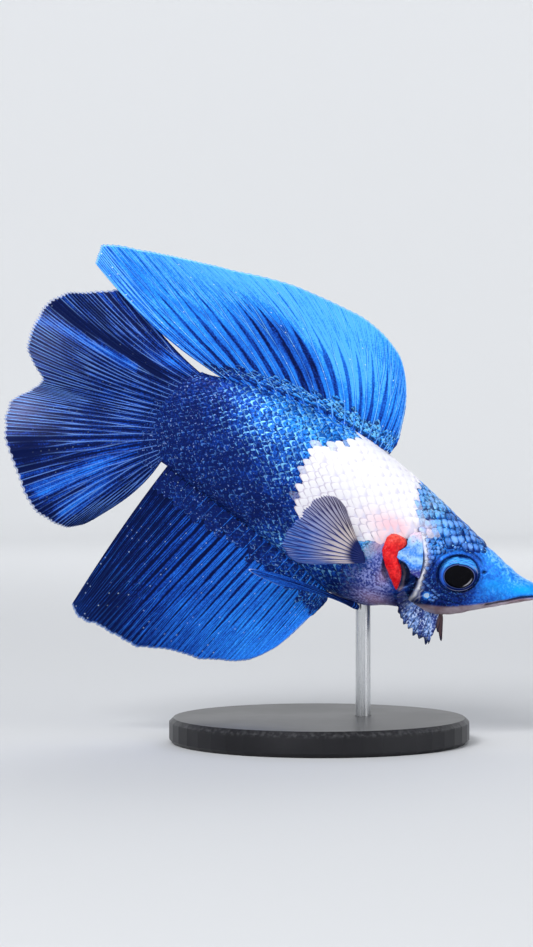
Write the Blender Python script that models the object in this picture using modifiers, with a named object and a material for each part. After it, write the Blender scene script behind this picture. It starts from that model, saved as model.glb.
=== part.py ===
"""A halfmoon betta fish, life size, nose down and a little rolled, on a plain display stand.

The fish is modelled level and straight in its own frame, in millimetres: +X forward, +Z up,
+Y to its left, with the origin midway between the eyes. sway() bends it sideways, and the
empty fish_pose then pitches it nose down, rolls its back to its right and lifts it on the rod.
"""

import math

import bmesh
import bpy
from mathutils import Matrix, Vector

MM = 0.001
GAP = 0.3  # clearance between neighbouring solids
FIN_THICK = 0.5
MEMBRANE_THICK = 0.55

# Pose of the fish in the object's frame.
PITCH_DEG = 27.0
ROLL_DEG = 10.0
EYES_AT = (22.57, 0.0, 20.6)  # where the midpoint between the eyes stands, mm
SWAY_FROM = -15.0  # the spine is straight here and curves away fore and aft
SNOUT_SWAY = -1.1
TAIL_SWAY = 3.0
SNOUT_X = 10.2
TAIL_TIP_X = -59.0

# Body stations from the tail base to the mouth:
# x, top of the back, lowest line, half width, level of the widest line, boxiness of the section
BODY_STATIONS = [
    (-37.4, 7.3, -4.9, 1.15, 1.2, 2.0),
    (-33.0, 8.4, -5.7, 2.0, 1.2, 2.0),
    (-27.0, 9.4, -6.6, 3.25, 1.0, 2.05),
    (-22.0, 9.6, -7.4, 4.05, 0.7, 2.1),
    (-17.0, 9.3, -8.3, 4.6, 0.2, 2.15),
    (-12.0, 8.35, -9.5, 4.8, -0.4, 2.15),
    (-8.0, 7.25, -8.95, 4.65, -0.8, 2.2),
    (-5.0, 6.4, -7.5, 4.35, -0.8, 2.25),
    (-2.0, 5.5, -6.7, 3.8, -0.6, 2.3),
    (1.0, 4.6, -5.55, 3.2, -0.2, 2.3),
    (4.0, 3.75, -3.25, 2.65, 0.4, 2.2),
    (7.0, 2.95, -0.85, 2.0, 1.1, 2.1),
    (9.2, 2.85, 0.95, 1.45, 1.9, 2.0),
    (10.0, 2.6, 1.6, 0.85, 2.1, 2.0),
]
RING_XS = [-37.4, -35.5, -33.0, -30.5, -28.0, -25.5, -23.0, -20.5, -18.0, -15.5, -13.0, -11.0,
           -9.2, -7.6, -6.0, -4.5, -3.0, -1.5, 0.0, 1.5, 3.0, 4.5, 6.0, 7.2, 8.3, 9.2, 9.75, 10.0]
RING_SIDES = 24
SNOUT_TIP = (10.25, 2.1)

# Rear edge of the head, from the nape down behind the cheek to the throat (x, z).
CHEEK_EDGE = [
    (-9.4, 9.5),
    (-8.4, 6.7),
    (-6.8, 4.1),
    (-4.6, 1.0),
    (-3.7, -1.6),
    (-4.2, -4.9),
    (-4.9, -7.6),
    (-5.4, -11.0),
]
TRUNK_END_X = -20.0
MOUTH_LINE = [(11.2, 1.75), (6.0, -0.9), (1.5, -4.1), (-2.6, -5.7), (-3.3, -8.5)]
# The cutters that part the body reach past it on every side.
ZONE_FRONT_X = 14.0
ZONE_REAR_X = -45.0
ZONE_HALF_HEIGHT = 14.0
ZONE_HALF_WIDTH = 9.0

EYE_AT = (-0.1, 2.0, 0.2)
EYE_RADII = (2.4, 1.8, 2.25)
BALL_SIDES, BALL_RINGS = 16, 11  # facets of the eyes and of the round hollows

GILL_HOLLOW_AT = (-6.5, 5.2, -1.6)
GILL_HOLLOW_RADII = (2.9, 2.2, 3.5)
GILL_RADIUS = 0.95
GILL_SUNK = 0.25  # how far its middle line lies below the flank
GILL_STEPS = 12
GILL_LINE = [(-7.0, 1.0), (-8.3, 0.6), (-8.6, -0.9), (-7.9, -2.6), (-6.2, -4.1)]

# Guide rays of the fins. Dorsal and anal: base x, launch angle above or below the way aft, tip x, tip z.
# Tail fin: base z, launch angle, tip x, tip z.
DORSAL_RAYS = [
    (-36.9, 4.0, -55.5, 12.9),
    (-35.4, 12.0, -55.9, 15.1),
    (-32.0, 24.0, -50.5, 17.1),
    (-28.0, 38.0, -46.0, 18.45),
    (-23.8, 50.0, -40.8, 19.8),
    (-20.4, 66.0, -32.4, 21.6),
    (-17.8, 80.0, -24.7, 21.9),
    (-15.6, 90.0, -18.6, 20.2),
    (-14.3, 98.0, -15.2, 16.1),
    (-13.6, 98.0, -13.7, 11.2),
]
CAUDAL_RAYS = [
    (6.9, 10.0, -51.0, 11.9),
    (5.9, 1.0, -54.9, 9.2),
    (5.0, -5.0, -57.5, 7.7),
    (4.1, -9.0, -59.0, 5.1),
    (3.3, -12.0, -58.9, 2.5),
    (2.5, -14.0, -58.2, -0.4),
    (1.6, -16.0, -55.4, -3.0),
    (0.8, -18.0, -56.2, -4.9),
    (0.0, -21.0, -57.7, -7.5),
    (-1.0, -27.0, -56.9, -10.4),
    (-2.0, -36.0, -52.9, -14.4),
    (-2.9, -46.0, -48.5, -17.4),
    (-3.7, -58.0, -45.2, -17.7),
    (-4.3, -70.0, -43.2, -16.8),
    (-4.8, -84.0, -41.9, -15.0),
]
ANAL_RAYS = [
    (-36.9, -79.0, -39.7, -25.9),
    (-33.8, -76.0, -38.4, -26.7),
    (-30.5, -73.0, -36.2, -26.6),
    (-26.0, -72.0, -31.4, -26.7),
    (-22.0, -73.0, -26.8, -25.4),
    (-18.2, -76.0, -22.2, -24.2),
    (-15.2, -80.0, -18.4, -22.4),
    (-13.4, -84.0, -15.2, -18.6),
    (-12.7, -88.0, -13.5, -14.0),
    (-12.4, -90.0, -12.6, -11.4),
]
# Pectoral fin: base x, base z, tip x, tip z.
PECTORAL_RAYS = [
    (-12.1, -1.9, -15.8, 2.0),
    (-12.0, -2.1, -17.4, 2.8),
    (-11.9, -2.3, -19.0, 1.8),
    (-11.7, -2.5, -20.2, -0.2),
    (-11.5, -2.8, -20.7, -2.7),
    (-11.3, -3.1, -20.2, -5.2),
    (-11.1, -3.4, -18.4, -6.2),
    (-10.9, -3.6, -15.8, -5.7),
]
PECTORAL_SPREAD_DEG = 32.0
# Pelvic fin: base x, base z, angle of the ray above the way aft, length.
PELVIC_RAYS = [
    (-9.9, -8.9, 1.0, 9.0),
    (-9.5, -9.0, -2.0, 13.2),
    (-9.0, -9.1, -5.0, 9.5),
]
PELVIC_HALF_SPACE = 1.35
PELVIC_SPREAD_DEG = 9.0
# Gill membrane, the "beard": along the throat from rear to front: x, z of its root, x, z of its hem.
BEARD_RAYS = [
    (-4.9, -4.6, -5.6, -5.5),
    (-3.9, -5.5, -4.4, -6.9),
    (-2.6, -5.95, -2.9, -8.4),
    (-1.2, -6.15, -1.0, -9.0),
    (0.0, -6.0, 0.8, -9.2),
    (0.45, -5.9, 0.8, -7.3),
    (0.8, -5.75, 2.2, -8.5),
]
BEARD_HALF_SPACE = 0.9
BEARD_FLARE = 0.9
BEARD_STAND_OFF = 0.35  # the solid sheet stands this far out from the throat
BEARD_DROP = 0.45  # and its root this far below it
# Flap of the gill cover, from its top: x of its root, x of its free edge, z.
COVER_ROWS = [
    (-6.6, -8.1, 3.9),
    (-5.61, -7.78, 2.75),
    (-4.88, -7.45, 1.6),
    (-4.22, -7.13, 0.45),
    (-3.6, -6.8, -0.7),
]
COVER_STAND_OFF = 0.35
COVER_FLARE = 0.45

# Ripple of a fin: how far it swings at its edge, waves along its base, where the first wave starts.
DORSAL_RIPPLE = (0.55, 1.6, 0.6)
CAUDAL_RIPPLE = (1.15, 2.1, 1.1)
ANAL_RIPPLE = (0.6, 1.7, 2.4)
DORSAL_REAR_LEAN = -0.9  # its rear corner hangs to the right, in front of the tail fin
CAUDAL_TOP_LEAN = 1.2  # and the tail fin's upper corner keeps to the left
FIN_STAND_OFF = 0.1  # beyond GAP, from the body to the base of an unpaired fin
RAY_KNEE = 0.45  # a ray bends at this share of its length
PECTORAL_STAND_OFF = 0.25
PECTORAL_CUP = 0.35
PELVIC_DROOP_DEG = 5.0
PELVIC_SPLAY = 0.5

# Display stand.
BASE_CENTRE_X = 5.9
BASE_RADIUS = 18.0
BASE_THICK = 3.0
BASE_CHAMFER = 0.5
ROD_RADIUS = 0.9
ROD_BODY_X = -8.2  # the rod stands under this place on the breast
ROD_IN_BODY = 1.6
ROD_IN_BASE = 2.0
ROD_CLEARANCE = 0.1
ROD_END_ROOM = 0.15
BASE_SIDES, ROD_SIDES = 48, 24


def clear_scene():
    for obj in list(bpy.data.objects):
        bpy.data.objects.remove(obj, do_unlink=True)


def smooth_at(knots, values, at):
    """A smooth curve through the knots that never overshoots them."""
    count = len(knots)
    steps = [knots[i + 1] - knots[i] for i in range(count - 1)]
    rises = [(values[i + 1] - values[i]) / steps[i] for i in range(count - 1)]
    slopes = [rises[0]]
    for i in range(1, count - 1):
        before, after = rises[i - 1], rises[i]
        if before * after <= 0:
            slopes.append(0.0)
        else:
            wide, narrow = 2 * steps[i] + steps[i - 1], steps[i] + 2 * steps[i - 1]
            slopes.append((wide + narrow) / (wide / before + narrow / after))
    slopes.append(rises[-1])
    at = min(max(at, knots[0]), knots[-1])
    i = max(j for j in range(count - 1) if knots[j] <= at)
    t = (at - knots[i]) / steps[i]
    return (
        values[i] * (1 + 2 * t) * (1 - t) ** 2
        + slopes[i] * steps[i] * t * (1 - t) ** 2
        + values[i + 1] * t * t * (3 - 2 * t)
        + slopes[i + 1] * steps[i] * t * t * (t - 1)
    )


def row_at(table, at):
    """A row of a table, smoothly between its rows; at counts rows from 0."""
    rows = list(range(len(table)))
    return [smooth_at(rows, list(column), at) for column in zip(*table)]


def station_at(x):
    """Top, lowest line, half width, widest level and boxiness of the body at x."""
    columns = list(zip(*BODY_STATIONS))
    return [smooth_at(list(columns[0]), list(column), x) for column in columns[1:]]


def sway(x):
    """How far the spine stands to the left of its straight line."""
    if x > SWAY_FROM:
        return SNOUT_SWAY * ((x - SWAY_FROM) / (SNOUT_X - SWAY_FROM)) ** 2
    return TAIL_SWAY * ((x - SWAY_FROM) / (TAIL_TIP_X - SWAY_FROM)) ** 2


def section_point(x, angle, grow=0.0):
    """A point of the body's skin: angle 0 is the back, 90 the left flank, 180 the belly."""
    top, low, half, level, boxy = station_at(x)
    side, up = math.sin(angle), math.cos(angle)
    power = 2.0 / boxy
    y = math.copysign(abs(side) ** power, side) * (half + grow)
    reach = (top - level if up > 0 else level - low) + grow
    return Vector((x, y, level + math.copysign(abs(up) ** power, up) * reach))


def flank_y(x, z):
    """Half width of the body at a height."""
    top, low, half, level, boxy = station_at(x)
    reach = top - level if z > level else level - low
    share = min(abs(z - level) / reach, 1.0)
    return half * (1 - share**boxy) ** (1 / boxy)


def new_object(name, mesh, material, pose, collection):
    obj = bpy.data.objects.new(name, mesh)
    collection.objects.link(obj)
    if material:
        mesh.materials.append(material)
    obj.parent = pose
    return obj


def mesh_from(bm, name, swayed=True):
    """A mesh in metres from a bmesh in millimetres, bent along the spine."""
    for vert in bm.verts:
        if swayed:
            vert.co.y += sway(vert.co.x)
        vert.co *= MM
    mesh = bpy.data.meshes.new(name)
    bm.to_mesh(mesh)
    bm.free()
    return mesh


def body_mesh(name):
    """The whole body as one closed loft of unlike sections, from the tail base to the mouth."""
    bm = bmesh.new()
    rings = []
    for x in RING_XS:
        angles = [2 * math.pi * i / RING_SIDES for i in range(RING_SIDES)]
        rings.append([bm.verts.new(section_point(x, a)) for a in angles])
    for fore, aft in zip(rings[1:], rings[:-1]):
        for i in range(RING_SIDES):
            j = (i + 1) % RING_SIDES
            bm.faces.new((aft[i], fore[i], fore[j], aft[j]))
    tip = bm.verts.new((SNOUT_TIP[0], 0.0, SNOUT_TIP[1]))
    for i in range(RING_SIDES):
        bm.faces.new((rings[-1][i], tip, rings[-1][(i + 1) % RING_SIDES]))
    bm.faces.new(rings[0])
    bmesh.ops.recalc_face_normals(bm, faces=bm.faces)
    return mesh_from(bm, name)


def prism_mesh(name, outline, half_width):
    """A closed prism across the fish from an outline of (x, z) points."""
    bm = bmesh.new()
    face = bm.faces.new([bm.verts.new((x, -half_width, z)) for x, z in outline])
    made = bmesh.ops.extrude_face_region(bm, geom=[face])
    moved = [v for v in made["geom"] if isinstance(v, bmesh.types.BMVert)]
    bmesh.ops.translate(bm, verts=moved, vec=(0, 2 * half_width, 0))
    bmesh.ops.recalc_face_normals(bm, faces=bm.faces)
    return mesh_from(bm, name, swayed=False)


def ellipsoid_mesh(name, centre, radii, segments, rings):
    """A closed ellipsoid from a sphere primitive."""
    bm = bmesh.new()
    bmesh.ops.create_uvsphere(bm, u_segments=segments, v_segments=rings, radius=1.0)
    bmesh.ops.rotate(bm, verts=bm.verts, matrix=Matrix.Rotation(math.pi / 2, 3, "X"))
    bmesh.ops.scale(bm, vec=radii, verts=bm.verts)
    bmesh.ops.translate(bm, vec=centre, verts=bm.verts)
    return mesh_from(bm, name)


def sheet_object(name, rows, columns, place, thick, material, pose, collection):
    """A thin closed sheet from a grid primitive: place(u, v) puts each point, Solidify gives the wall."""
    bm = bmesh.new()
    bmesh.ops.create_grid(bm, x_segments=columns, y_segments=rows, size=0.5)
    for vert in bm.verts:
        vert.co = place(vert.co.x + 0.5, vert.co.y + 0.5)
    obj = new_object(name, mesh_from(bm, name), material, pose, collection)
    wall = obj.modifiers.new("wall", "SOLIDIFY")
    wall.thickness = thick * MM
    wall.offset = 0.0
    return obj


def ray_point(start, angle_deg, tip, along):
    """A fin ray that leaves its base at an angle and bends towards its tip, in the fin's plane."""
    angle = math.radians(angle_deg)
    reach = (Vector(tip) - Vector(start)).length * RAY_KNEE
    knee = Vector(start) + reach * Vector((-math.cos(angle), math.sin(angle)))
    rest = 1 - along
    return rest * rest * Vector(start) + 2 * rest * along * knee + along * along * Vector(tip)


def ripple(shape, u):
    """Sideways swing of a fin's edge at a share of its base."""
    swing, waves, start = shape
    return swing * math.sin(2 * math.pi * waves * u + start)


def dorsal_place(u, v):
    base_x, angle, tip_x, tip_z = row_at(DORSAL_RAYS, u * (len(DORSAL_RAYS) - 1))
    start = (base_x, station_at(base_x)[0] + GAP + FIN_STAND_OFF)
    x, z = ray_point(start, angle, (tip_x, tip_z), v)
    lean = DORSAL_REAR_LEAN * (1 - u) ** 2 * v
    return Vector((x, lean + ripple(DORSAL_RIPPLE, u) * v * v, z))


def caudal_place(u, v):
    base_z, angle, tip_x, tip_z = row_at(CAUDAL_RAYS, u * (len(CAUDAL_RAYS) - 1))
    start = (BODY_STATIONS[0][0] - GAP, base_z)
    x, z = ray_point(start, angle, (tip_x, tip_z), v)
    lean = CAUDAL_TOP_LEAN * max(0.0, 1 - 5 * u) * v
    return Vector((x, lean + ripple(CAUDAL_RIPPLE, u) * v**1.5, z))


def anal_place(u, v):
    base_x, angle, tip_x, tip_z = row_at(ANAL_RAYS, u * (len(ANAL_RAYS) - 1))
    start = (base_x, station_at(base_x)[1] - GAP - FIN_STAND_OFF)
    x, z = ray_point(start, angle, (tip_x, tip_z), v)
    return Vector((x, ripple(ANAL_RIPPLE, u) * v * v, z))


def pectoral_place(side):
    spread = math.tan(math.radians(PECTORAL_SPREAD_DEG))

    def place(u, v):
        base_x, base_z, tip_x, tip_z = row_at(PECTORAL_RAYS, u * (len(PECTORAL_RAYS) - 1))
        x, z = base_x + (tip_x - base_x) * v, base_z + (tip_z - base_z) * v
        out = flank_y(base_x, base_z) + GAP + PECTORAL_STAND_OFF + (base_x - x) * spread
        cup = PECTORAL_CUP * v * math.sin(math.pi * u)
        return Vector((x, side * (out + cup), z))

    return place


def pelvic_place(side):
    spread = math.radians(PELVIC_SPREAD_DEG)

    def place(u, v):
        base_x, base_z, angle_deg, length = row_at(PELVIC_RAYS, u * (len(PELVIC_RAYS) - 1))
        angle = math.radians(angle_deg - PELVIC_DROOP_DEG * v)
        along = v * length
        x = base_x - along * math.cos(angle) * math.cos(spread)
        y = PELVIC_HALF_SPACE + along * math.sin(spread) + PELVIC_SPLAY * (1 - u) * (1 - v)
        return Vector((x, side * y, base_z + along * math.sin(angle) - GAP))

    return place


def beard_place(side):
    """The gill membrane: it follows the throat at its root and flares out towards its hem."""

    def place(u, v):
        root_x, root_z, hem_x, hem_z = row_at(BEARD_RAYS, u * (len(BEARD_RAYS) - 1))
        swell = math.sin(0.5 * math.pi * v) * max(0.0, math.sin(math.pi * u)) ** 0.6
        root_y = max(flank_y(root_x, root_z), BEARD_HALF_SPACE) + BEARD_STAND_OFF
        x = root_x + (hem_x - root_x) * v
        z = root_z + (hem_z - root_z) * v - BEARD_DROP * (1 - v)
        return Vector((x, side * (root_y + BEARD_FLARE * swell), z))

    return place


def cover_place(side):
    """The gill cover's flap: it hugs the flank at its root and stands off at its tip."""

    def place(u, v):
        root, tip, z = row_at(COVER_ROWS, u * (len(COVER_ROWS) - 1))
        x = root + (tip - root) * v
        lift = GAP + COVER_STAND_OFF + COVER_FLARE * v
        return Vector((x, side * (flank_y(x, z) + lift), z))

    return place


def tube_mesh(name, points, radii, sides=10):
    """A bent tube with tapered round ends, as a skinned chain of rings."""
    bm = bmesh.new()
    rings = []
    for i, (point, radius) in enumerate(zip(points, radii)):
        ahead, behind = points[min(i + 1, len(points) - 1)], points[max(i - 1, 0)]
        along = (ahead - behind).normalized()
        across = along.cross(Vector((0, 1, 0))).normalized()
        other = across.cross(along)
        turns = [2 * math.pi * k / sides for k in range(sides)]
        spots = [point + radius * (math.cos(t) * across + math.sin(t) * other) for t in turns]
        rings.append([bm.verts.new(spot) for spot in spots])
    for first, second in zip(rings, rings[1:]):
        for k in range(sides):
            m = (k + 1) % sides
            bm.faces.new((first[k], first[m], second[m], second[k]))
    bm.faces.new(rings[0][::-1])
    bm.faces.new(rings[-1])
    bmesh.ops.recalc_face_normals(bm, faces=bm.faces)
    return mesh_from(bm, name)


def gill_mesh(name, side, grow):
    """The red gill, a crescent behind the gill cover, thickest in its middle."""
    points, radii = [], []
    for i in range(GILL_STEPS + 1):
        t = i / GILL_STEPS
        x, z = row_at(GILL_LINE, t * (len(GILL_LINE) - 1))
        points.append(Vector((x, side * (flank_y(x, z) - GILL_SUNK), z)))
        radii.append(GILL_RADIUS * math.sin(math.pi * (0.14 + 0.72 * t)) ** 0.6 + grow)
    if grow:
        first, last = points[1] - points[0], points[-1] - points[-2]
        points[0] = points[0] - first.normalized() * grow
        points[-1] = points[-1] + last.normalized() * grow
    return tube_mesh(name, points, radii)


def material(name, color, roughness, metallic=0.0):
    made = bpy.data.materials.new(name)
    made.use_nodes = True
    shader = made.node_tree.nodes["Principled BSDF"]
    shader.inputs["Base Color"].default_value = (*color, 1.0)
    shader.inputs["Roughness"].default_value = roughness
    shader.inputs["Metallic"].default_value = metallic
    made.diffuse_color = (*color, 1.0)
    return made


def cut(obj, cutter, operation="DIFFERENCE"):
    modifier = obj.modifiers.new(cutter.name, "BOOLEAN")
    modifier.operation = operation
    modifier.object = cutter
    modifier.solver = "EXACT"
    return modifier


def helper(name, mesh, pose, cutters):
    obj = new_object(name, mesh, None, pose, cutters)
    obj.hide_render = True
    obj.display_type = "WIRE"
    return obj


def head_outline(shift):
    """The head's region: all that lies in front of the cheek edge, moved aft by shift."""
    edge = [(x - shift, z) for x, z in CHEEK_EDGE]
    return edge + [(ZONE_FRONT_X, edge[-1][1]), (ZONE_FRONT_X, edge[0][1])]


def jaw_outline(grow):
    """The lower jaw's region: all that lies under the mouth line, grown by grow."""
    line = [(x - 0.5 * grow, z + grow) for x, z in MOUTH_LINE]
    return line + [(line[0][0], line[-1][1])]


def tail_outline(shift):
    """The tail stalk's region: all that lies behind the trunk's end, moved forward by shift."""
    front = TRUNK_END_X + shift
    low, high = -ZONE_HALF_HEIGHT, ZONE_HALF_HEIGHT
    return [(ZONE_REAR_X, low), (front, low), (front, high), (ZONE_REAR_X, high)]


def zone(name, outline, pose, cutters):
    """A cutter that reaches right across the fish."""
    return helper(name, prism_mesh(name, outline, ZONE_HALF_WIDTH), pose, cutters)


def build_body(pose, parts, cutters, paints):
    head_zone = zone("cut_head_zone", head_outline(0.0), pose, cutters)
    head_room = zone("cut_head_room", head_outline(GAP), pose, cutters)
    jaw_zone = zone("cut_jaw_zone", jaw_outline(0.0), pose, cutters)
    jaw_room = zone("cut_jaw_room", jaw_outline(GAP), pose, cutters)
    tail_zone = zone("cut_tail_zone", tail_outline(0.0), pose, cutters)
    tail_room = zone("cut_tail_room", tail_outline(GAP), pose, cutters)

    head = new_object("head", body_mesh("head"), paints["skin"], pose, parts)
    cut(head, head_zone, "INTERSECT")
    cut(head, jaw_room)
    jaw = new_object("lower_jaw", body_mesh("lower_jaw"), paints["jaw"], pose, parts)
    cut(jaw, head_zone, "INTERSECT")
    cut(jaw, jaw_zone, "INTERSECT")
    trunk = new_object("trunk", body_mesh("trunk"), paints["white"], pose, parts)
    cut(trunk, head_room)
    cut(trunk, tail_room)
    tail = new_object("tail_stalk", body_mesh("tail_stalk"), paints["skin"], pose, parts)
    cut(tail, tail_zone, "INTERSECT")

    for side, hand in ((-1, "right"), (1, "left")):
        x, y, z = EYE_AT
        centre = (x, side * y, z)
        eye = ellipsoid_mesh("eye_" + hand, centre, EYE_RADII, BALL_SIDES, BALL_RINGS)
        new_object("eye_" + hand, eye, paints["eye"], pose, parts)
        socket_radii = tuple(r + GAP for r in EYE_RADII)
        socket = ellipsoid_mesh("cut_socket_" + hand, centre, socket_radii, BALL_SIDES, BALL_RINGS)
        cut(head, helper("cut_socket_" + hand, socket, pose, cutters))

        x, y, z = GILL_HOLLOW_AT
        centre = (x, side * y, z)
        hollow = ellipsoid_mesh("cut_hollow_" + hand, centre, GILL_HOLLOW_RADII, BALL_SIDES, BALL_RINGS)
        hollow_cutter = helper("cut_hollow_" + hand, hollow, pose, cutters)
        cut(trunk, hollow_cutter)
        gill_room = helper("cut_gill_" + hand, gill_mesh("cut_gill_" + hand, side, GAP), pose, cutters)
        cut(trunk, gill_room)
        new_object("gill_" + hand, gill_mesh("gill_" + hand, side, 0.0), paints["gill"], pose, parts)
    return trunk


def build_fins(pose, parts, paints):
    blue, clear = paints["fin"], paints["clear_fin"]
    sheet_object("dorsal_fin", 8, 24, dorsal_place, FIN_THICK, blue, pose, parts)
    sheet_object("caudal_fin", 9, 32, caudal_place, FIN_THICK, blue, pose, parts)
    sheet_object("anal_fin", 8, 22, anal_place, FIN_THICK, blue, pose, parts)
    for side, hand in ((-1, "right"), (1, "left")):
        sheet_object("pectoral_fin_" + hand, 5, 12, pectoral_place(side), FIN_THICK, clear, pose, parts)
        sheet_object("pelvic_fin_" + hand, 10, 4, pelvic_place(side), FIN_THICK, blue, pose, parts)
        cover, beard = cover_place(side), beard_place(side)
        sheet_object("gill_cover_" + hand, 4, 8, cover, FIN_THICK, paints["skin"], pose, parts)
        sheet_object("gill_membrane_" + hand, 4, 12, beard, MEMBRANE_THICK, paints["jaw"], pose, parts)


def cylinder_mesh(name, radius, low, high, centre, sides):
    bm = bmesh.new()
    bmesh.ops.create_cone(
        bm, cap_ends=True, segments=sides, radius1=radius, radius2=radius, depth=high - low
    )
    bmesh.ops.translate(bm, vec=(centre[0], centre[1], (low + high) / 2), verts=bm.verts)
    return mesh_from(bm, name, swayed=False)


def build_stand(pose, trunk, parts, cutters, paints):
    """A round base and one upright rod, let into the base and into the breast."""
    belly = station_at(ROD_BODY_X)[1]
    foot = pose.matrix_basis @ (Vector((ROD_BODY_X, sway(ROD_BODY_X), belly)) * MM) / MM
    centre = (foot.x, foot.y)
    low, high = BASE_THICK - ROD_IN_BASE, foot.z + ROD_IN_BODY
    base_centre = (BASE_CENTRE_X, 0.0)
    base_mesh = cylinder_mesh("stand_base", BASE_RADIUS, 0.0, BASE_THICK, base_centre, BASE_SIDES)
    base = new_object("stand_base", base_mesh, paints["base"], None, parts)
    wide = ROD_RADIUS + ROD_CLEARANCE
    hole = cylinder_mesh("cut_rod_hole", wide, low - ROD_END_ROOM, BASE_THICK + 1, centre, ROD_SIDES)
    edge = base.modifiers.new("edge", "BEVEL")
    edge.width = BASE_CHAMFER * MM
    edge.segments = 1
    edge.limit_method = "ANGLE"
    edge.angle_limit = math.radians(60)
    cut(base, helper("cut_rod_hole", hole, None, cutters))
    rod_mesh = cylinder_mesh("stand_rod", ROD_RADIUS, low, high, centre, ROD_SIDES)
    new_object("stand_rod", rod_mesh, paints["rod"], None, parts)
    room_mesh = cylinder_mesh("cut_rod_room", wide, low, high + ROD_END_ROOM, centre, ROD_SIDES)
    cut(trunk, helper("cut_rod_room", room_mesh, None, cutters))


def main():
    clear_scene()
    parts = bpy.data.collections.new("halfmoon_betta_fish")
    cutters = bpy.data.collections.new("cutters")
    bpy.context.scene.collection.children.link(parts)
    bpy.context.scene.collection.children.link(cutters)
    cutters.hide_render = True

    paints = {
        "skin": material("blue_skin", (0.02, 0.10, 0.50), 0.35, 0.3),
        "white": material("white_shoulder", (0.85, 0.84, 0.88), 0.4),
        "jaw": material("grey_jaw", (0.22, 0.24, 0.42), 0.45),
        "eye": material("black_eye", (0.01, 0.01, 0.02), 0.08),
        "gill": material("red_gill", (0.75, 0.05, 0.03), 0.35),
        "fin": material("blue_fin", (0.02, 0.12, 0.62), 0.35, 0.3),
        "clear_fin": material("lilac_fin", (0.30, 0.36, 0.72), 0.35),
        "rod": material("brushed_rod", (0.6, 0.6, 0.6), 0.3, 1.0),
        "base": material("black_base", (0.03, 0.03, 0.035), 0.45),
    }

    pose = bpy.data.objects.new("fish_pose", None)
    parts.objects.link(pose)
    pitch = Matrix.Rotation(math.radians(PITCH_DEG), 4, "Y")
    roll = Matrix.Rotation(math.radians(ROLL_DEG), 4, "X")
    pose.matrix_basis = Matrix.Translation(Vector(EYES_AT) * MM) @ pitch @ roll

    trunk = build_body(pose, parts, cutters, paints)
    build_fins(pose, parts, paints)
    build_stand(pose, trunk, parts, cutters, paints)


main()
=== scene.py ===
# %% [markdown]
# # A halfmoon betta, life size, on a display stand
#
# This lesson dresses a small fish model. The solids come ready made and fixed in place; here each of them
# is either replaced by a finer piece of the same size or gets a better finish. A betta is a good
# exercise, because it has nearly every kind of surface that a fish can have: one smooth skin, a coat of
# overlapping scales, fins with branching rays, a wet eye, and soft red gills.
#
# We start by loading the solids and noting the box they fill, since nothing may grow out of it.

import math
from contextlib import contextmanager

import bmesh
import bpy
import numpy as np
from mathutils import Matrix, Vector


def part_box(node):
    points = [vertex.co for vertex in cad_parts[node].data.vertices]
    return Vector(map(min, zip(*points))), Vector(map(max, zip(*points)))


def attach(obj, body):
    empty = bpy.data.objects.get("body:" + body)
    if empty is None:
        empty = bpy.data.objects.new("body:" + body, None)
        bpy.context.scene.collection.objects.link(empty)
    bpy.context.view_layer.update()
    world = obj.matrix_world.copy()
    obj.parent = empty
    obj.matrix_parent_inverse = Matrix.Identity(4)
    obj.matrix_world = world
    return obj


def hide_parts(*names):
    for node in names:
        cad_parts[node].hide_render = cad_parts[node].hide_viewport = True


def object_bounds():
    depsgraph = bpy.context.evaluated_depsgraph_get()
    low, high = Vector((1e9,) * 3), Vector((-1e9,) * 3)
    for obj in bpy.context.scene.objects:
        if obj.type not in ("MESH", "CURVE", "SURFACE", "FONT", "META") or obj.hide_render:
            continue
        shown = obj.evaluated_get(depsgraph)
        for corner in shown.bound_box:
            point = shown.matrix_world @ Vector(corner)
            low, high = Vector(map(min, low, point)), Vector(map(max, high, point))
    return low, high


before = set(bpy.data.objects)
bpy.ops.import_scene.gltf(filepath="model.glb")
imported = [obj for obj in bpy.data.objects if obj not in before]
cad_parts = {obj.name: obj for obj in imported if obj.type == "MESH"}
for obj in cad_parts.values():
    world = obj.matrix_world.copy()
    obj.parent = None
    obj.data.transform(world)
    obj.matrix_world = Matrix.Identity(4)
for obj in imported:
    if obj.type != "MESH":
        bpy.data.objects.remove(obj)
solid_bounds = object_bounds()
print("solids:", len(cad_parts), "box:", solid_bounds)

# %% [markdown]
# ## The fish's own frame
#
# It is far easier to model a fish that is level and straight than one that hangs nose down and sways. So
# every piece is worked out in the fish's own frame, in millimetres: x forward, y to its left, z up, with
# zero midway between the eyes. Two small functions then bend the spine sideways and put the fish in its
# pose. The solids tell where the eyes stand, and the pose is hung on that point.

# %% Pose
MM = 0.001
PITCH = math.radians(27.0)
ROLL = math.radians(10.0)
SWAY_FROM = -15.0
SNOUT_SWAY, SNOUT_X = -1.1, 10.2
TAIL_SWAY, TAIL_TIP_X = 3.0, -59.0
EYE_AT = np.array([-0.1, 2.0, 0.2])
EYE_RADII = np.array([2.4, 1.8, 2.25])


def sway(x):
    fore = SNOUT_SWAY * ((x - SWAY_FROM) / (SNOUT_X - SWAY_FROM)) ** 2
    aft = TAIL_SWAY * ((x - SWAY_FROM) / (TAIL_TIP_X - SWAY_FROM)) ** 2
    return np.where(x > SWAY_FROM, fore, aft)


turn = np.array(Matrix.Rotation(PITCH, 3, "Y") @ Matrix.Rotation(ROLL, 3, "X"))
eye_boxes = [np.array(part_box(name)) for name in ("eye_right", "eye_left")]
between_eyes = sum(box.mean(axis=0) for box in eye_boxes) / 2
eyes_in_fish = np.array([EYE_AT[0], float(sway(EYE_AT[0])), EYE_AT[2]])
fish_at = between_eyes - turn @ eyes_in_fish * MM


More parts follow.
